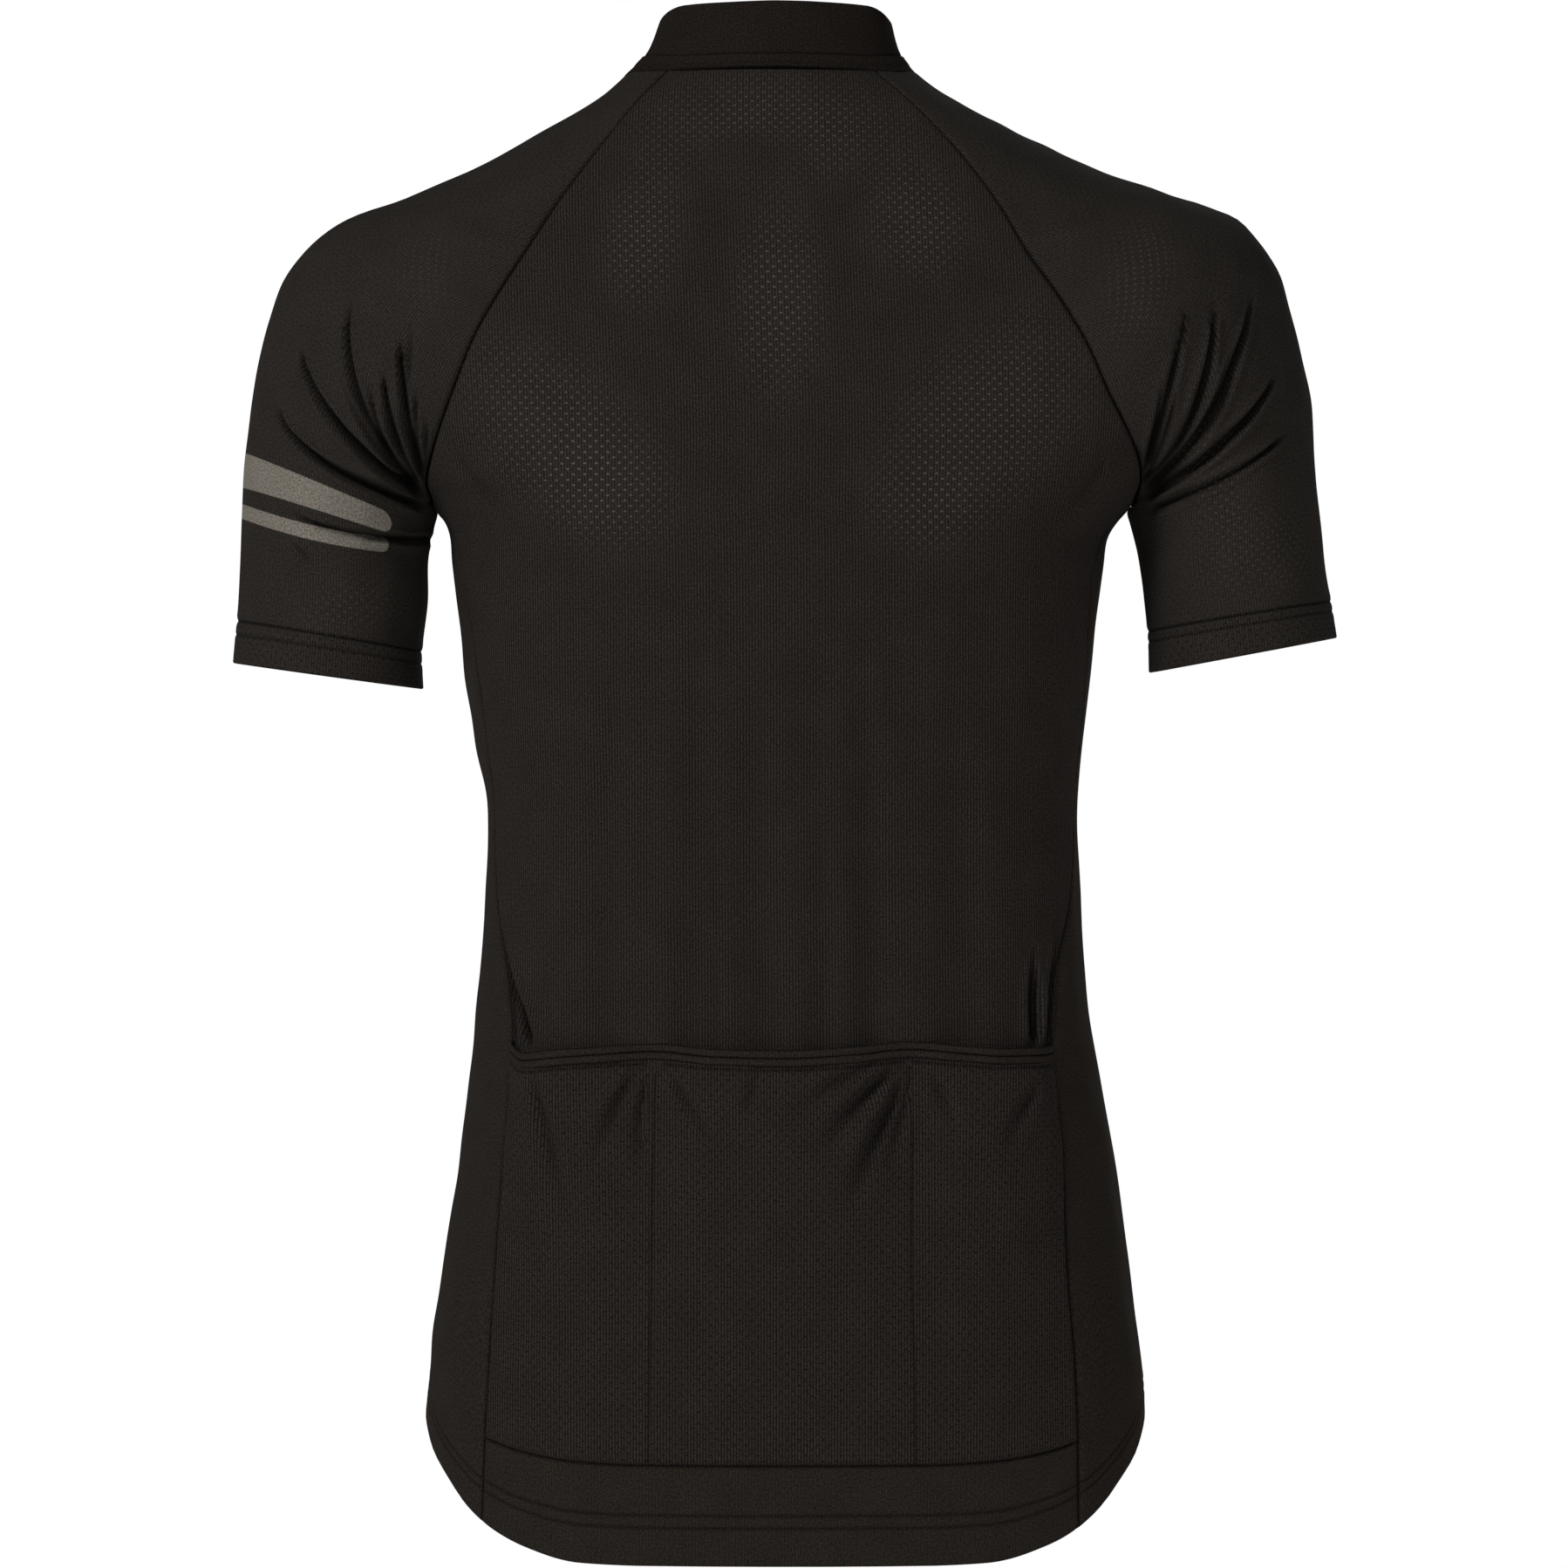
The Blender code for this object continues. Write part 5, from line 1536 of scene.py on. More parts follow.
@dataclass
class Body:
    """The back, tail band, fronts and side panels."""

    pattern: Pattern
    finishes: Finishes
    allowance: int = 6          # columns or rows of a seam's turned allowance
    facing: int = 8             # columns turned in along the zip
    hem_lines: tuple[float, float] = (0.51, 0.385)  # the hem's two stitch lines, as shares of the tail band
    topstitch: float = 6.0      # from the zip edge, mm
    waist_row: int = 100        # the row where that is measured

    def build(self) -> None:
        """Builds the trunk's pieces."""
        self.build_back()
        self.build_tail()
        for side in Side:
            self.build_front(side)
            self.build_side(side)

    def hem_rows(self) -> Array:
        """The hem's stitch lines, as rows of the grids."""
        return np.round(self.pattern.place_of(np.array(self.hem_lines) * self.pattern.form.knots[TAIL_ROW]))

    def hem_courses(self, cloth: Cloth) -> list[tuple[Array, Array]]:
        """The hem's stitch lines on a finished piece."""
        return [cloth.row_course(row) for row in self.hem_rows()]

    @staticmethod
    def grid_lines(points: Array, rows: Array) -> list[Array]:
        """Lines along rows, in fractions, of a grid."""
        low = np.floor(rows).astype(int)
        return [points[r] * (1 - s) + points[r + 1] * s for r, s in zip(low, rows - low)]

    def turn_hem(self, cloth: Cloth, numbers: Array) -> None:
        """Turns the hem up to just above its upper stitch line."""
        cloth.turn(numbers, Edge.FOOT, int(self.hem_rows()[0]) + 3, 0.5)

    def build_back(self) -> None:
        """Builds the back panel, down to the seam above the tail band."""
        pattern = self.pattern
        seams = [pattern.seams[name, side] for name in ("back_side", "back_raglan") for side in Side]
        cloth = Cloth("back_panel_cloth", pattern.back[pattern.tail:], (0, 0, -300))
        cloth.shape([*seams, pattern.back[pattern.tail], pattern.back[-1]], (), BACK_CREASES, seed=1)
        cloth.turn_all(cloth.numbers, (Edge.START, Edge.END, Edge.FOOT, Edge.HEAD), self.allowance)
        cloth.declare(cloth.mesh(Dress(self.finishes.eyelet, "eyelet_knit", ("back_panel",), 1.0)))

    def build_tail(self) -> None:
        """Builds the tail band with its turned-up hem."""
        pattern, tail = self.pattern, self.pattern.tail
        points = pattern.back[:tail + 1]
        seams = [pattern.seams["back_side", side] for side in Side]
        cloth = Cloth("tail_band_cloth", points, (0, 0, -700))
        cloth.shape([*seams, points[-1]], self.grid_lines(points, self.hem_rows()), seed=2, unevenness=0.25)
        numbers = cloth.turn_all(cloth.numbers, (Edge.START, Edge.END, Edge.HEAD), self.allowance)
        self.turn_hem(cloth, numbers)
        piece = cloth.mesh(Dress(self.finishes.plain, "plain_knit", ("tail_band",)))
        thread = self.finishes.sewing.sew("tail_band_stitches", self.hem_courses(cloth), "plain_knit")
        cloth.declare(piece, [thread])

    def build_front(self, side: Side) -> None:
        """Builds a front, from the zip to the side seam and the raglan seam."""
        pattern, word = self.pattern, side.word
        points = pattern.fronts[side]
        seams = [pattern.seams["front_side", side], pattern.seams["front_raglan", side], points[-1]]
        waist = points[self.waist_row]
        column = int(np.argmin(np.abs(np.linalg.norm(waist - waist[0], axis=1) - self.topstitch)))
        lines = [*self.grid_lines(points, self.hem_rows()), points[:, column]]
        cloth = Cloth(f"front_{word}_cloth", points, (0, 0, -300))
        cloth.shape(seams, lines, front=FRONT_CREASES, seed=3 + side.value)
        numbers = cloth.turn(cloth.numbers, Edge.END, self.allowance)
        numbers = cloth.turn(numbers, Edge.START, self.facing, 0.3)
        numbers = cloth.turn(numbers, Edge.HEAD, self.allowance)
        self.turn_hem(cloth, numbers)
        piece = cloth.mesh(Dress(self.finishes.plain, "plain_knit", ("front_" + word,)))
        courses = [*self.hem_courses(cloth), cloth.column_course(column)]
        thread = self.finishes.sewing.sew(f"front_{word}_stitches", courses, "plain_knit")
        cloth.declare(piece, [thread])

    def build_side(self, side: Side) -> None:
        """Builds a side panel, from the hem to the sleeve."""
        pattern, word = self.pattern, side.word
        points = pattern.sides[side]
        seams = [pattern.seams[name, side] for name in ("back_side", "front_side", "underarm")]
        cloth = Cloth(f"side_panel_{word}_cloth", points, (0, 0, -400))
        lines = self.grid_lines(points, self.hem_rows())
        cloth.shape(seams, lines, BACK_CREASES, FRONT_CREASES, 6 + side.value)
        numbers = cloth.turn_all(cloth.numbers, (Edge.START, Edge.END, Edge.HEAD), self.allowance)
        self.turn_hem(cloth, numbers)
        piece = cloth.mesh(Dress(self.finishes.plain, "plain_knit", ("side_panel_" + word,)))
        thread = self.finishes.sewing.sew(f"side_panel_{word}_stitches", self.hem_courses(cloth), "plain_knit")
        cloth.declare(piece, [thread])


@dataclass
class Sleeve:
    """A raglan sleeve and its cuff."""

    pattern: Pattern
    finishes: Finishes
    side: Side
    allowance: int = 6
    cuff_stitch: float = 5.5    # below the cuff's seam, mm

    def build(self) -> None:
        """Builds the sleeve and the cuff."""
        self.build_sleeve()
        self.build_cuff()

    def build_sleeve(self) -> None:
        """Builds the sleeve: its tube, and the cap that grows from the tube's last row."""
        pattern, side = self.pattern, self.side
        tube, cap = pattern.tubes[side][pattern.cuff_row:], pattern.caps[side]
        cloth = Cloth(f"sleeve_{side.word}_cloth", tube, (side.value * 220, 0, -250))
        columns = cap.shape[1]
        flat = cloth.flattened(np.concatenate([tube[:, :columns], cap[1:]]))
        around = self.tube_flat(tube, flat[:len(tube), 0, 1], columns // 2)
        cloth.flat[cloth.numbers.ravel()] = around.reshape(-1, 2)
        upper = cloth.number(cap[1:], flat[len(tube):])
        cap_numbers = np.concatenate([cloth.numbers[-1:, :columns], upper])
        cloth.cover(cap_numbers)
        cloth.close(cloth.numbers[:, 0], cloth.numbers[:, -1])
        seams = [pattern.seams[name, side] for name in ("back_raglan", "front_raglan", "underarm")]
        cloth.shape([*seams, cap[-1]], (), SLEEVE_BACK_CREASES, SLEEVE_FRONT_CREASES, 9 + side.value,
                    shallow=[tube[0]])
        cloth.turn(cloth.numbers, Edge.FOOT, self.allowance, closed=True)
        cloth.turn_all(cap_numbers, (Edge.START, Edge.END, Edge.HEAD), self.allowance)
        finish = self.finishes.printed if side is Side.LEFT else self.finishes.stretched
        cloth.declare(cloth.mesh(Dress(finish, "eyelet_knit", ("sleeve_" + side.word,), 1.0)))

    @staticmethod
    def tube_flat(points: Array, rise: Array, middle: int) -> Array:
        """Flat coordinates of a tube whose first and last columns meet under the arm."""
        around = np.concatenate([np.zeros((len(points), 1)),
                                 np.cumsum(np.linalg.norm(np.diff(points, axis=1), axis=2), axis=1)], axis=1)
        return np.stack([around - around[:, middle:middle + 1],
                         np.broadcast_to(rise[:, None], around.shape)], -1)

    def build_cuff(self) -> None:
        """Builds the doubled cuff."""
        pattern, side = self.pattern, self.side
        points = pattern.tubes[side][:pattern.cuff_row + 1]
        drop = round(pattern.cuff_row * (1 - self.cuff_stitch / steps_of(points[:, 0])[-1]))
        cloth = Cloth(f"cuff_{side.word}_cloth", points, (side.value * 230, 0, -295))
        rise = steps_of(points[:, points.shape[1] // 3])
        middle = pattern.caps[side].shape[1] // 2
        cloth.flat[:] = self.tube_flat(points, rise - rise[-1], middle).reshape(-1, 2)
        cloth.close(cloth.numbers[:, 0], cloth.numbers[:, -1])
        cloth.shape([], [points[drop]], seed=12 + side.value, unevenness=0.25, shallow=[points[-1]])
        numbers = cloth.turn(cloth.numbers, Edge.HEAD, 4, closed=True)
        cloth.turn(numbers[:-5], Edge.FOOT, len(points) - 1, 0.6, closed=True)
        piece = cloth.mesh(Dress(self.finishes.stretched, "eyelet_knit", ("cuff_" + side.word,), 0.0))
        courses = [cloth.row_course(drop)]
        thread = self.finishes.sewing.sew(f"cuff_{side.word}_stitches", courses, "eyelet_knit")
        cloth.declare(piece, [thread])


class Mouth(NamedTuple):
    """The pockets' mouths at a column of the back: how far they hang, and how far they stand open."""

    column: float
    drop: float
    gape: float


MOUTH = (
    Mouth(-1.0, 2.4, 0.0),
    Mouth(-0.86, 4.6, 0.7),
    Mouth(-0.7, 5.0, 1.0),
    Mouth(-0.54, 3.0, 0.75),
    Mouth(-0.375, 0.2, 0.0),
    Mouth(-0.2, 3.4, 0.8),
    Mouth(0.0, 5.4, 1.0),
    Mouth(0.2, 4.4, 0.8),
    Mouth(0.375, 1.2, 0.0),
    Mouth(0.54, 3.4, 0.75),
    Mouth(0.7, 5.4, 1.0),
    Mouth(0.86, 7.0, 0.7),
    Mouth(1.0, 0.6, 0.0),
)


class Fill(NamedTuple):
    """How much of the mouths' gape is left at a share of the way up the pockets."""

    share: float
    gape: float


FILL = (Fill(0.0, 0.0), Fill(0.225, 0.05), Fill(0.448, 0.2), Fill(0.608, 0.45), Fill(0.768, 0.72),
        Fill(0.884, 0.9), Fill(1.0, 1.0))


@dataclass
class Pockets:
    """The pocket panel, which is stitched down into three pockets, and the binding along its mouths."""

    pattern: Pattern
    finishes: Finishes
    stand: float = 0.95         # of the panel's outer face off the back
    gape: float = 8.8
    raise_mouth: float = 1.4    # of the mouths' highest points above the row they follow
    binding: float = 8.0        # the binding's height
    cord: float = 0.75          # the height of the binding's two cords
    dividers: tuple[float, float] = (0.375, -0.375)
    bartack: tuple[float, float, float] = (8.5, 0.55, 2.4)  # its height, its pitch and its width
    step: float = 2.1           # from column to column
    allowance: int = 3          # rows and columns turned under
    binding_rows: int = 15
    binding_fold: int = 12      # rows of the binding that lie double

    def __post_init__(self) -> None:
        """Works out the pockets' columns, which lie closer together beside the stitches of the dividers."""
        half = self.pattern.back_width / 2
        beside = np.array([-1.6, -0.8, 0, 0.8, 1.6]) / half
        columns = self.pattern.form.spread(2 * half, self.step) * 2 - 1
        clear = np.min([np.abs(columns - d) for d in self.dividers], axis=0) > 2.4 / half
        self.columns = np.sort(np.concatenate([columns[clear], *(d + beside for d in self.dividers)]))

    def levels(self, shares: Array) -> Array:
        """Levels of the pocket's rows, column by column."""
        knots = self.pattern.form.knots
        top = knots[MOUTH_ROW] + self.raise_mouth - read(MOUTH, "column", self.columns, "drop")
        return knots[TAIL_ROW] + (top - knots[TAIL_ROW]) * shares[:, None]

    def lifted(self, name: str, levels: Array, stand: Array) -> Cloth:
        """A piece of cloth over the back at some levels, moved out."""
        pattern, knots = self.pattern, self.pattern.form.knots
        points = loft(pattern.form.back(self.columns), knots, levels)
        cloth = Cloth(name, points, (0, 0, -550))
        share = (levels - knots[TAIL_ROW]) / (knots[MOUTH_ROW] - knots[TAIL_ROW])
        opened = read(FILL, "share", share.ravel(), "gape").reshape(share.shape)
        opened = opened * read(MOUTH, "column", self.columns, "gape") * self.gape
        beside = np.minimum(steps_of(points[0]), steps_of(points[0])[-1] - steps_of(points[0]))
        low = (levels - knots[TAIL_ROW])
        near = smooth(np.minimum(beside / 3.5, 1)) * smooth(np.minimum(low / 3.5, 1))
        cloth.points += cloth.directions() * (opened + stand * (0.15 + 0.85 * near)).reshape(-1, 1)
        return cloth

    def build(self) -> None:
        """Builds the panel and its binding."""
        pattern, sewing = self.pattern, self.finishes.sewing
        foot = (0, 0.004, 0.01, 0.018, 0.03)
        rows = np.concatenate([foot, np.linspace(0.045, 0.6, 36), np.linspace(0.61, 0.975, 44)])
        levels = self.levels(rows)
        cloth = self.lifted("pocket_panel_cloth", levels, np.full(levels.shape, self.stand))
        grid = cloth.points[cloth.numbers]
        seams = [pattern.seams["back_side", side] for side in Side]
        columns = np.round(np.interp(self.dividers, self.columns, np.arange(len(self.columns)))).astype(int)
        # grid[-4] is a shallow groove with painted shadow, just under the binding's lower edge.
        lines = [*(grid[:, column] for column in columns), grid[-4]]
        cloth.shape([*seams, pattern.back[pattern.tail]], lines, POCKET_CREASES, seed=21, unevenness=0.3)
        cloth.turn_all(cloth.numbers, (Edge.START, Edge.END, Edge.FOOT), self.allowance)
        piece = cloth.mesh(Dress(self.finishes.eyelet, "eyelet_knit", ("pocket_panel",), 0.0))
        courses = [cloth.column_course(column) for column in columns]
        thread = sewing.sew("pocket_divider_stitches", courses, "eyelet_knit")
        cloth.declare(piece, [thread])
        self.build_binding(columns)

    def build_binding(self, dividers: Array) -> None:
        """Builds the folded binding with its two cords, its stitches and the bartacks at the dividers."""
        sewing = self.finishes.sewing
        share, last = np.linspace(0, 1, self.binding_rows), self.binding_rows - 1
        top = self.levels(np.array([1.0]))
        levels = top - self.binding * (1 - share)[:, None]
        cords = self.cord * np.abs(np.sin(2 * math.pi * share)) ** 0.7
        stand = np.broadcast_to((self.stand + 0.5 + cords)[:, None], levels.shape)
        cloth = self.lifted("pocket_binding_cloth", levels, stand)
        cloth.shape([self.pattern.seams["back_side", side] for side in Side], (), seed=22, unevenness=0.2)
        # Painted shade along the binding's edges and its middle, between the two cords.
        lines = 0.9 * (1 - cords / self.cord) ** 2
        cloth.shade = np.maximum(cloth.shade, np.repeat(lines, levels.shape[1]))
        numbers = cloth.turn(cloth.numbers, Edge.FOOT, self.allowance, 0.2)
        cloth.turn(numbers, Edge.HEAD, self.binding_fold, 0.3)
        piece = cloth.mesh(Dress(self.finishes.plain, "plain_knit", ("pocket_binding",)))
        thread = sewing.sew("pocket_binding_stitches", [cloth.row_course(last / 2)], "plain_knit")
        height, pitch, width = self.bartack
        tacks = []
        for column in dividers:
            rows = np.arange(last - height / self.binding * last, last, pitch / self.binding * last)
            points, outer = cloth.course(np.stack([np.clip(rows, 0, last), np.full_like(rows, column)], -1))
            for point, out in zip(points, outer):
                ends = point + np.array([[-width / 2, 0, 0], [width / 2, 0, 0]])
                tacks.append((ends, np.stack([out, out])))
        bartacks = sewing.sew("pocket_bartacks", tacks, "plain_knit", pitch=width)
        cloth.declare(piece, [thread, bartacks])


@dataclass
class Collar:
    """The doubled stand collar and the band that covers the neck seam."""

    pattern: Pattern
    finishes: Finishes
    facing: int = 8
    band_stand: float = 0.6     # of the band off the collar's foot
    flare: float = 2.4          # of the band's foot, outwards over the shoulders
    painted_foot_shade: float = 0.8     # painted shade along the seam at the band's foot

    def build(self) -> Array:
        """Builds the band and the collar.

        Returns:
            The collar's grid, foot to top, from the zip's left edge to its right edge.
        """
        pattern, plain = self.pattern, self.finishes.collar
        heights = np.linspace(-0.1, 1, 10)
        band = pattern.collar(heights)
        around = band[:, :, :2] - (NECK_MIDDLE, 0)
        around /= np.linalg.norm(around, axis=2, keepdims=True)
        spread = self.flare * np.clip(1 - heights, 0, 1)[:, None] ** 2 * around[:, :, 0] ** 2
        band[:, :, 0] += around[:, :, 0] * spread
        band[:, :, 2] -= spread
        cloth = Cloth("neck_band_cloth", band, (NECK_MIDDLE, 0, -20))
        cloth.points += cloth.directions() * self.band_stand
        cloth.shape([], [band[4]], seed=31, unevenness=0.1, shallow=[pattern.neck()])
        # Painted shade along the band's foot, under its edge.
        cloth.shade[cloth.numbers[:2]] = self.painted_foot_shade
        numbers = cloth.turn(cloth.numbers, Edge.FOOT, 5)
        numbers = cloth.turn(numbers, Edge.HEAD, 5)
        for edge in (Edge.START, Edge.END):
            numbers = cloth.turn(numbers, edge, self.facing, 0.2)
        piece = cloth.mesh(Dress(plain, "plain_knit", ("neck_band",)))
        thread = self.finishes.sewing.sew("neck_band_stitches", [cloth.row_course(4)], "plain_knit")
        cloth.declare(piece, [thread])

        stand = pattern.collar(np.linspace(0.86, 3, 24))
        cloth = Cloth("collar_cloth", stand, (NECK_MIDDLE, 0, 10))
        # stand[2] is a shallow groove with painted shade just above the band's top edge; no thread runs there.
        cloth.shape([], [stand[2]], seed=32, unevenness=0.3)
        numbers = cloth.turn(cloth.numbers, Edge.FOOT, 3, 0.0)
        for edge in (Edge.START, Edge.END):
            numbers = cloth.turn(numbers, edge, self.facing, 0.3)
        cloth.turn(numbers, Edge.HEAD, 20, 0.5)
        cloth.declare(cloth.mesh(Dress(plain, "plain_knit", ("collar",))))
        return np.concatenate([band, stand[2:]])


@dataclass
class Zip:
    """The full-length front zip: two tapes, coil, slider with its pull, and the retainer at its foot."""

    pattern: Pattern
    finishes: Finishes
    collar: Array
    depth: float = 2.15         # of the tapes' face behind the cloth's
    reach: float = 9.0          # of a tape behind its front
    slot_half: float = 0.5      # from the zip's middle to each tape
    coil_pitch: float = 1.4
    tooth: tuple[float, float, float] = (3.4, 0.95, 1.1)    # across, along, out
    hinge: tuple[float, float, float] = (4.3, -60.741, -49.941)
    tilt: float = -0.1155       # of the slider's frame about X, in radians
    slider: tuple[float, float, float] = (6.6, 3.0, 9.0)
    pull: tuple[float, float, float] = (5.0, 1.2, 20.0)
    retainer: tuple[float, float, float] = (6.4, 2.6, 7.0)
    lead: float = 6.0           # from the cloth's edge to where its sideways direction is taken
    coil_off: float = 1.1       # of a turn of coil from the zip's middle
    coil_stand: float = 0.35    # of the coil off the tapes' face
    slider_back: float = 1.1    # of the slider's face behind the hinge
    slider_top: float = 4.6     # of the slider above the hinge
    slider_foot: float = 0.78   # its width at the foot, as a share
    bridge: tuple[float, float, float] = (1.6, 0.5, 1.7)    # radius, thickness and how far it is drawn out
    pull_top: float = 0.6       # of the tab above the hinge
    pull_tip: float = 1.9       # the radius of its free corners
    window: tuple[Span, Span] = ((-1.5, 1.5), (-3.6, -0.6))     # x and z, round the bridge
    slot: tuple[Span, Span] = ((-0.9, 0.9), (2.0, 6.0))         # x, and z from the free end
    retainer_place: tuple[float, float] = (1.2, 3.0)    # its face and foot, from the zip's foot

    def build(self) -> None:
        """Builds the whole zip."""
        edges = {}
        for side in Side:
            edges[side] = self.edge_line(side)
            self.build_tape(side, edges[side])
        self.build_coil(edges)
        self.build_slider()
        self.build_pull()
        self.build_retainer(edges)

    def edge_line(self, side: Side) -> tuple[Array, Array, Array]:
        """The zip's edge on one side, hem to collar top: points, ways towards the side seam, ways outwards."""
        front = self.pattern.fronts[side]
        stand = self.collar if side is Side.LEFT else self.collar[:, ::-1]
        edge = np.concatenate([front[:, 0], stand[1:, 0]])
        inner = np.concatenate([self.at_distance(front, self.lead), self.at_distance(stand, self.lead)[1:]])
        ways = inner - edge
        ways /= np.linalg.norm(ways, axis=1, keepdims=True)
        up = np.gradient(edge, axis=0)
        out = np.cross(ways, up) * side.value
        out /= np.linalg.norm(out, axis=1, keepdims=True)
        return edge, ways, np.where((out[:, 1] > 0)[:, None], -out, out)

    @staticmethod
    def at_distance(grid: Array, distance: float) -> Array:
        """The points of each row that lie a distance from its start."""
        return np.array([resample(row, steps_of(row), distance) for row in grid])

    def build_tape(self, side: Side, line: tuple[Array, Array, Array]) -> None:
        """Builds a woven tape behind one edge of the cloth."""
        edge, ways, out = line
        places = np.array([self.slot_half - ZIP_HALF, -3.0, -2.0, -1.0, 0, 2.0, 4.0, 6.5, self.reach])
        points = (edge[:, None] + ways[:, None] * places[:, None] - out[:, None] * self.depth)[1:-1]
        cloth = Cloth(f"zip_tape_{side.word}_cloth", points, (0, 0, -300))
        cloth.thickness, cloth.stretch = 0.55, 1.0
        cloth.outer = cloth.directions()
        piece = cloth.mesh(Dress(self.finishes.tape, "zip_tape", ("zip_tape_" + side.word,)))
        cloth.declare(piece)

    def build_coil(self, edges: dict[Side, tuple[Array, Array, Array]]) -> None:
        """Builds the coil's turns, which lock into each other along the middle."""
        (left, _, out_left), (right, _, out_right) = edges[Side.LEFT], edges[Side.RIGHT]
        middle, out = (left + right) / 2, out_left + out_right
        out /= np.linalg.norm(out, axis=1, keepdims=True)
        run = steps_of(middle)
        form, faces = taken(bead())
        form = np.sign(form) * np.abs(form * 2) ** 0.7 / 2 * self.tooth
        for side in Side:
            start = 6.0 + (self.coil_pitch / 2 if side is Side.LEFT else 0)
            at = np.arange(start, run[-1] - 5.0, self.coil_pitch)
            place, face = resample(middle, run, at), resample(out, run, at)
            along = np.gradient(place, axis=0)
            along /= np.linalg.norm(along, axis=1, keepdims=True)
            wide = np.cross(along, face)
            wide *= np.sign(wide[:, :1]) * side.value
            centre = place + wide * self.coil_off - face * (self.depth - self.coil_stand)
            copies = centre[:, None] + np.einsum("vk,nkj->nvj", form, np.stack([wide, along, face], 1))
            joined(f"zip_coil_{side.word}", copies, faces, Dress(self.finishes.coil, "zip_tape"))

    def frame(self) -> Matrix:
        """The frame of the pull's hinge: +X along the axis, -Z down the collar's front."""
        return Matrix.Translation(Vector(self.hinge) * MM) @ Matrix.Rotation(self.tilt, 4, "X")

    def place(self, piece: Piece, frame: Matrix, body: str, node: str) -> None:
        """Puts a modelled hard piece, in millimetres, in its frame, and finishes it."""
        piece.data.transform(frame @ Matrix.Scale(MM, 4))
        finish_piece(piece, Dress(self.finishes.metal, "zip_metal", (node,)), body)

    def build_slider(self) -> None:
        """Builds the slider: a tapered body with side slots and an arched bridge."""
        _, deep, high = self.slider
        top, (radius, thick, drawn) = self.slider_top, self.bridge
        body = block("zip_slider_enamelled", self.slider, (0, self.slider_back + deep / 2, top - high / 2))
        select(body, lambda c, n: c.z < top - high + NEAR, "VERT")
        bpy.ops.transform.resize(value=(self.slider_foot, 1, 1), center_override=(0, 0, 0))
        bpy.ops.object.mode_set(mode="OBJECT")
        soften(body, 0.55, 4)
        bridge = ring("zip_slider_bridge", radius, thick, (0, 0, 0), (0, math.pi / 2, 0), (drawn, 1, 1))
        join([body, bridge])
        self.place(body, self.frame(), CLOTH_BODY, "zip_slider")

    def build_pull(self) -> None:
        """Builds the pull tab, with a window round the bridge and a slot at its free end."""
        (wide, _, long), top, (slot_x, slot_z) = self.pull, self.pull_top, self.slot
        tab = block("zip_pull_enamelled", self.pull, (0, 0, top - long / 2))
        punch(tab, *self.window)
        punch(tab, slot_x, (top - long + slot_z[0], top - long + slot_z[1]))
        select(tab, lambda c, n: abs(abs(c.x) - wide / 2) < NEAR and c.z < top - long + NEAR, "EDGE")
        bpy.ops.mesh.bevel(offset=self.pull_tip, segments=5)
        bpy.ops.object.mode_set(mode="OBJECT")
        soften(tab, 0.22, 3)
        self.place(tab, self.frame(), "zip_pull", "zip_pull")

    def build_retainer(self, edges: dict[Side, tuple[Array, Array, Array]]) -> None:
        """Builds the retainer box at the zip's foot."""
        foot = (edges[Side.LEFT][0][0] + edges[Side.RIGHT][0][0]) / 2
        (_, deep, high), (face, base) = self.retainer, self.retainer_place
        box = block("zip_retainer_enamelled", self.retainer, (0, face - deep / 2, base + high / 2))
        soften(box, 0.5, 4)
        self.place(box, Matrix.Translation(Vector(foot) * MM), CLOTH_BODY, "zip_retainer")


# ---------------------------------------------------------------------------------------------------------
# Hard pieces, modelled in millimetres.
# ---------------------------------------------------------------------------------------------------------

NEAR = 0.01             # how near a place counts as there, mm


def block(name: str, size: Sequence[float], centre: Sequence[float]) -> Piece:
    """A box as the start of a piece."""
    bpy.ops.object.select_all(action="DESELECT")
    bpy.ops.mesh.primitive_cube_add(size=1.0, location=centre, scale=size)
    piece = bpy.context.active_object
    piece.name = piece.data.name = name
    bpy.ops.object.transform_apply()
    return piece


def ring(name: str, radius: float, thick: float, centre: Sequence[float], turn: Sequence[float],
         scale: Sequence[float]) -> Piece:
    """A ring as the start of a piece."""
    bpy.ops.object.select_all(action="DESELECT")
    bpy.ops.mesh.primitive_torus_add(major_radius=radius, minor_radius=thick, major_segments=32,
                                     minor_segments=12, location=centre, rotation=turn)
    piece = bpy.context.active_object
    piece.name = name
    bpy.ops.object.transform_apply()
    bpy.ops.object.mode_set(mode="EDIT")
    bpy.ops.mesh.select_all(action="SELECT")
    bpy.ops.transform.resize(value=scale)
    bpy.ops.object.mode_set(mode="OBJECT")
    bpy.ops.object.shade_smooth()
    return piece


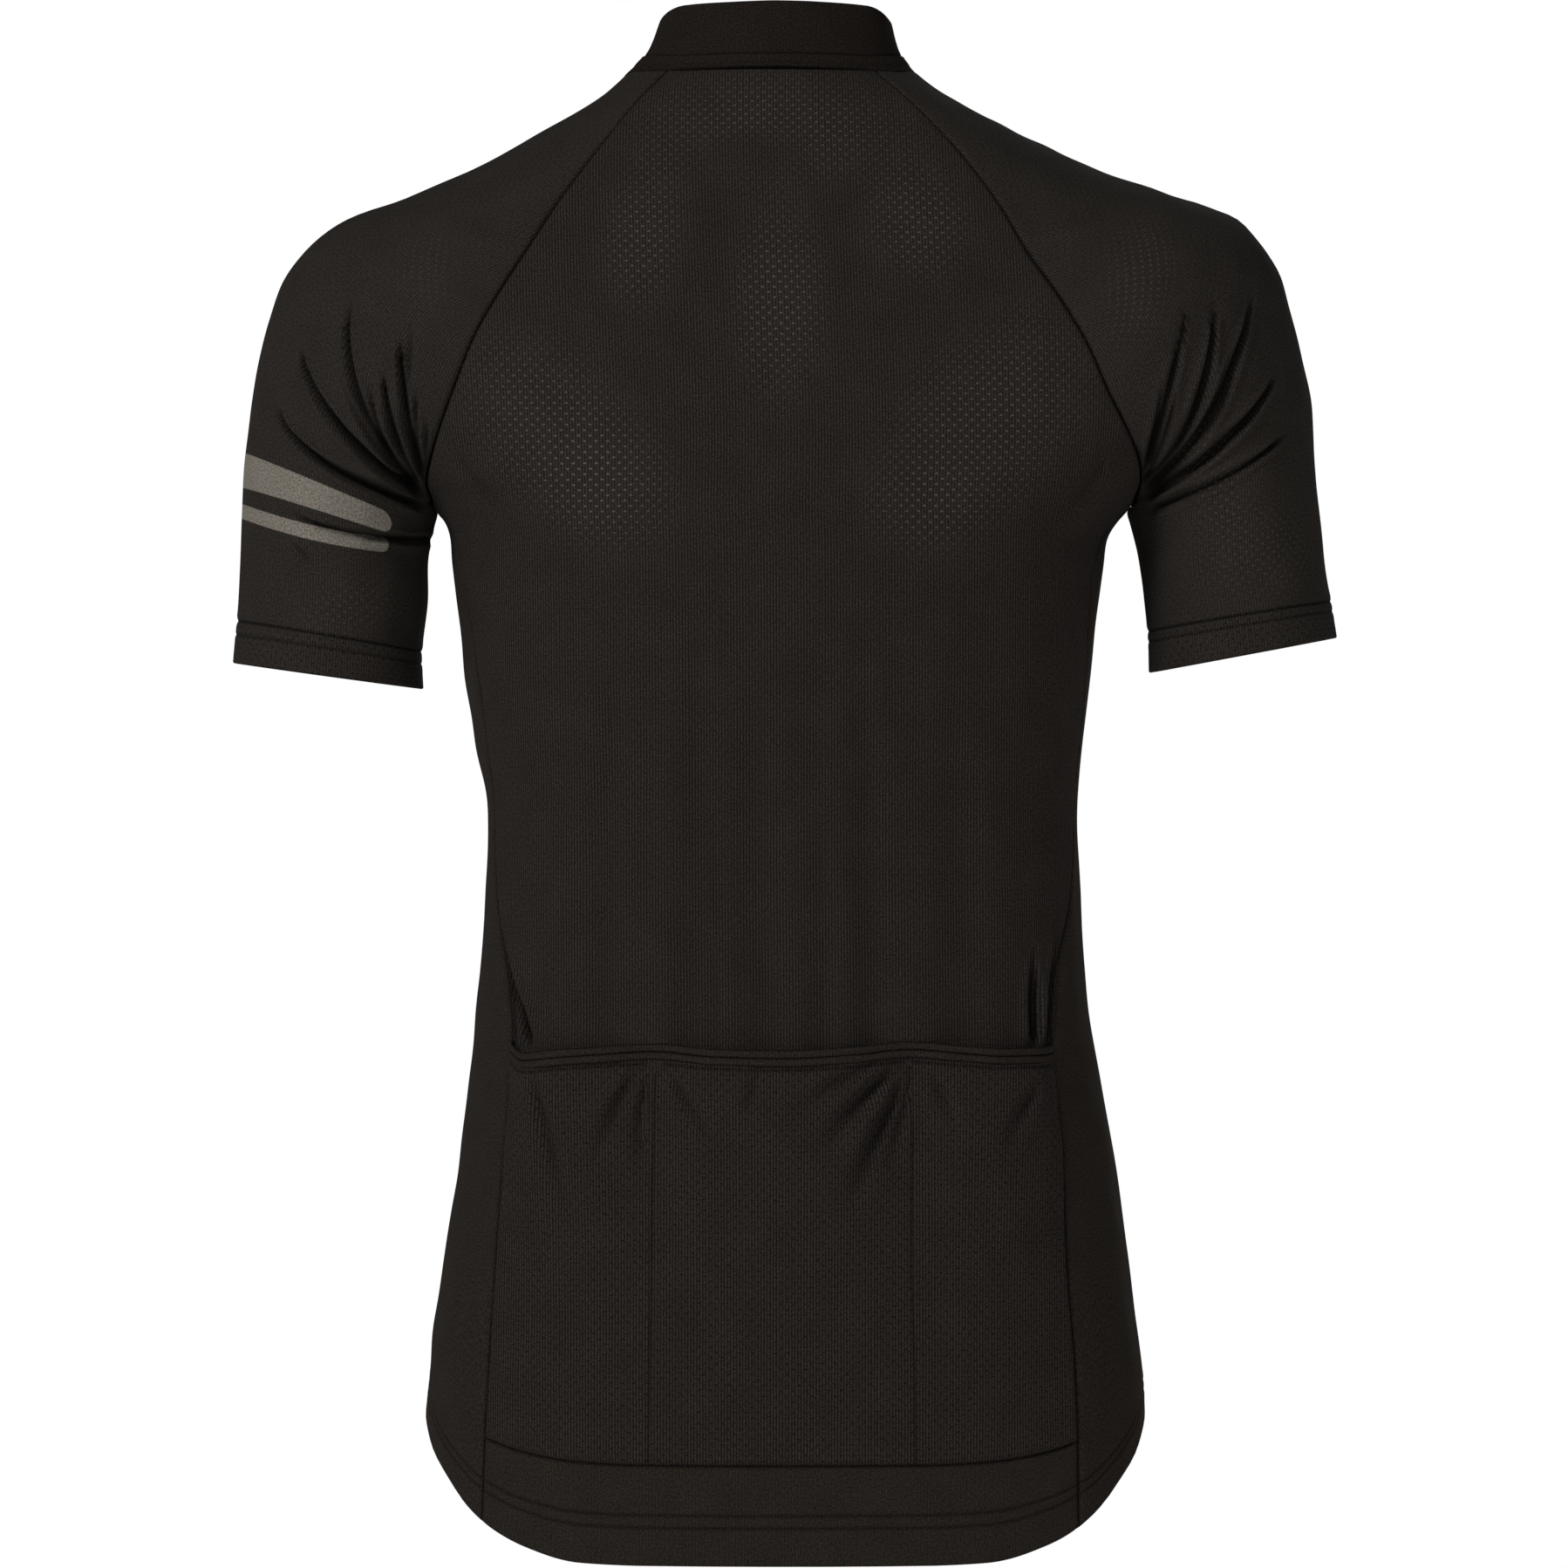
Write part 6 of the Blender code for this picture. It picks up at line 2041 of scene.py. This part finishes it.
def select(piece: Piece, wanted: Callable[[Vector, Vector], bool], kind: str) -> None:
    """Enters edit mode with only the wanted parts of a piece selected.

    Args:
        piece: the piece.
        wanted: tells from a part's centre and normal whether it is wanted; an edge's normal is its direction.
        kind: VERT, EDGE or FACE.
    """
    pick(piece)
    bpy.ops.object.mode_set(mode="EDIT")
    bpy.ops.mesh.select_mode(type=kind)
    bpy.ops.mesh.select_all(action="DESELECT")
    bpy.ops.object.mode_set(mode="OBJECT")
    data = piece.data
    if kind == "VERT":
        for vertex in data.vertices:
            vertex.select = wanted(vertex.co, vertex.normal)
    elif kind == "EDGE":
        for edge in data.edges:
            a, b = (data.vertices[n].co for n in edge.vertices)
            edge.select = wanted((a + b) / 2, (b - a).normalized())
    else:
        for face in data.polygons:
            face.select = wanted(face.center, face.normal)
    bpy.ops.object.mode_set(mode="EDIT")


def punch(piece: Piece, x: tuple[float, float], z: tuple[float, float]) -> None:
    """Punches a rectangular window with rounded corners through a flat piece."""
    for axis, places in ((0, x), (2, z)):
        for place in places:
            select(piece, lambda c, n: True, "FACE")
            centre, normal = [0.0] * 3, [0.0] * 3
            centre[axis], normal[axis] = place, 1.0
            bpy.ops.mesh.bisect(plane_co=centre, plane_no=normal)
            bpy.ops.object.mode_set(mode="OBJECT")
    inside = lambda c, n: x[0] < c.x < x[1] and z[0] < c.z < z[1] and abs(n.y) > 0.5
    select(piece, inside, "FACE")
    bpy.ops.mesh.delete(type="FACE")
    bpy.ops.object.mode_set(mode="OBJECT")
    select(piece, lambda c, n: abs(n.y) < 0.5 and (
        min(abs(c.x - v) for v in x) < NEAR and z[0] < c.z < z[1]
        or min(abs(c.z - v) for v in z) < NEAR and x[0] < c.x < x[1]), "EDGE")
    bpy.ops.mesh.bridge_edge_loops()
    bpy.ops.object.mode_set(mode="OBJECT")
    radius = min(x[1] - x[0], z[1] - z[0]) * 0.3
    select(piece, lambda c, n: abs(n.y) > 0.9 and min(abs(c.x - v) for v in x) < NEAR
           and min(abs(c.z - v) for v in z) < NEAR, "EDGE")
    bpy.ops.mesh.bevel(offset=radius, segments=4)
    bpy.ops.object.mode_set(mode="OBJECT")


def soften(piece: Piece, width: float, segments: int) -> None:
    """Rounds a piece's sharp edges and shades it smooth."""
    modifier = piece.modifiers.new("rounding", "BEVEL")
    modifier.width, modifier.segments, modifier.limit_method = width, segments, "ANGLE"
    modifier.angle_limit = math.radians(40)
    pick(piece)
    bpy.ops.object.modifier_apply(modifier="rounding")
    bpy.ops.object.shade_smooth_by_angle(angle=math.radians(40))


def join(pieces: Sequence[Piece]) -> None:
    """Joins pieces into the first."""
    pick(*pieces)
    bpy.ops.object.join()


class Studio:
    """The pale floor and backdrop, the soft lights and the camera."""

    camera_height, distance, lens = -0.3617, 4.0, 182.04
    floor_height = -0.98
    ambient = 0.2           # the strength of the light from all round

    def build(self) -> None:
        """Builds the studio round the jersey."""
        self.floor()
        self.world()
        for light in (("key", (2.05, 2.5, 1.6), 1.0, 112), ("fill", (-1.6, 3.2, -0.2), 1.6, 19),
                      ("front_key", (-0.9, -3.0, 0.9), 1.1, 116), ("front_fill", (1.2, -3.1, -0.2), 1.6, 32)):
            self.softbox(*light)
        self.place_camera()

    def floor(self) -> None:
        """A pale floor, painted under the jersey and glowing white, as the surroundings do, far from it."""
        bpy.ops.mesh.primitive_circle_add(vertices=96, radius=9.0, fill_type="NGON",
                                          location=(0, 0, self.floor_height))
        floor = bpy.context.active_object
        floor.name = "studio_floor"
        material, tree, shader = start_material("matt_white_paint")
        place = add(tree, "TexCoord").outputs["Object"]
        away = add(tree, "VectorMath", {"operation": "LENGTH"}, {0: place}).outputs["Value"]
        far = add(tree, "MapRange", {"interpolation_type": "SMOOTHSTEP"},
                  {"Value": away, "From Min": 0.6, "From Max": 2.2}).outputs["Result"]
        paint = add(tree, "Mix", BLEND, {0: far, 6: linear("#f0efec"), 7: linear("#000000")})
        glow = add(tree, "MapRange", None, {"Value": far, "To Min": 0.12, "To Max": 1.0}).outputs["Result"]
        tree.links.new(paint.outputs[2], shader.inputs["Base Color"])
        tree.links.new(glow, shader.inputs["Emission Strength"])
        shader.inputs["Emission Color"].default_value = linear("#ffffff")
        shader.inputs["Roughness"].default_value = 1.0
        shader.inputs["Specular IOR Level"].default_value = 0.0
        floor.data.materials.append(material)

    def world(self) -> None:
        """White surroundings, which light the jersey much less than they show."""
        world = bpy.data.worlds.new("studio_world")
        world.use_nodes = True
        background = world.node_tree.nodes["Background"]
        background.inputs["Color"].default_value = linear("#ffffff")
        seen = add(world.node_tree, "LightPath").outputs["Is Camera Ray"]
        span = {"Value": seen, "To Min": self.ambient, "To Max": 1.0}
        strength = add(world.node_tree, "MapRange", None, span)
        world.node_tree.links.new(strength.outputs["Result"], background.inputs["Strength"])
        bpy.context.scene.world = world

    @staticmethod
    def softbox(name: str, place: Sequence[float], size: float, power: float) -> None:
        """A square soft light that faces the jersey's middle.

        Args:
            name: the light's name.
            place: where it stands, in metres.
            size: its width, in metres.
            power: its power, in watts.
        """
        data = bpy.data.lights.new(name, "AREA")
        data.size, data.energy = size, power
        light = bpy.data.objects.new(name, data)
        light.location = place
        light.rotation_euler = (Vector((0, 0, -0.35)) - Vector(place)).to_track_quat("-Z", "Y").to_euler()
        bpy.context.scene.collection.objects.link(light)

    def place_camera(self) -> None:
        """The camera, level and square to the back."""
        data = bpy.data.cameras.new("camera")
        data.lens, data.sensor_width, data.clip_end = self.lens, 36.0, 60.0
        camera = bpy.data.objects.new("camera", data)
        camera.location = (0, self.distance, self.camera_height)
        camera.rotation_euler = (math.radians(90), 0, math.radians(180))
        bpy.context.scene.collection.objects.link(camera)
        bpy.context.scene.camera = camera


def main() -> None:
    """Builds the jersey's looks and its studio."""
    logging.basicConfig(level=logging.INFO, format="%(name)s: %(message)s")
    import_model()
    bpy.context.scene.view_settings.view_transform = "Standard"
    Studio().build()
    finishes = Finishes.build()
    pattern = Pattern(Form())
    Body(pattern, finishes).build()
    for side in Side:
        Sleeve(pattern, finishes, side).build()
    Pockets(pattern, finishes).build()
    collar = Collar(pattern, finishes).build()
    Zip(pattern, finishes, collar).build()


if __name__ == "__main__":
    main()
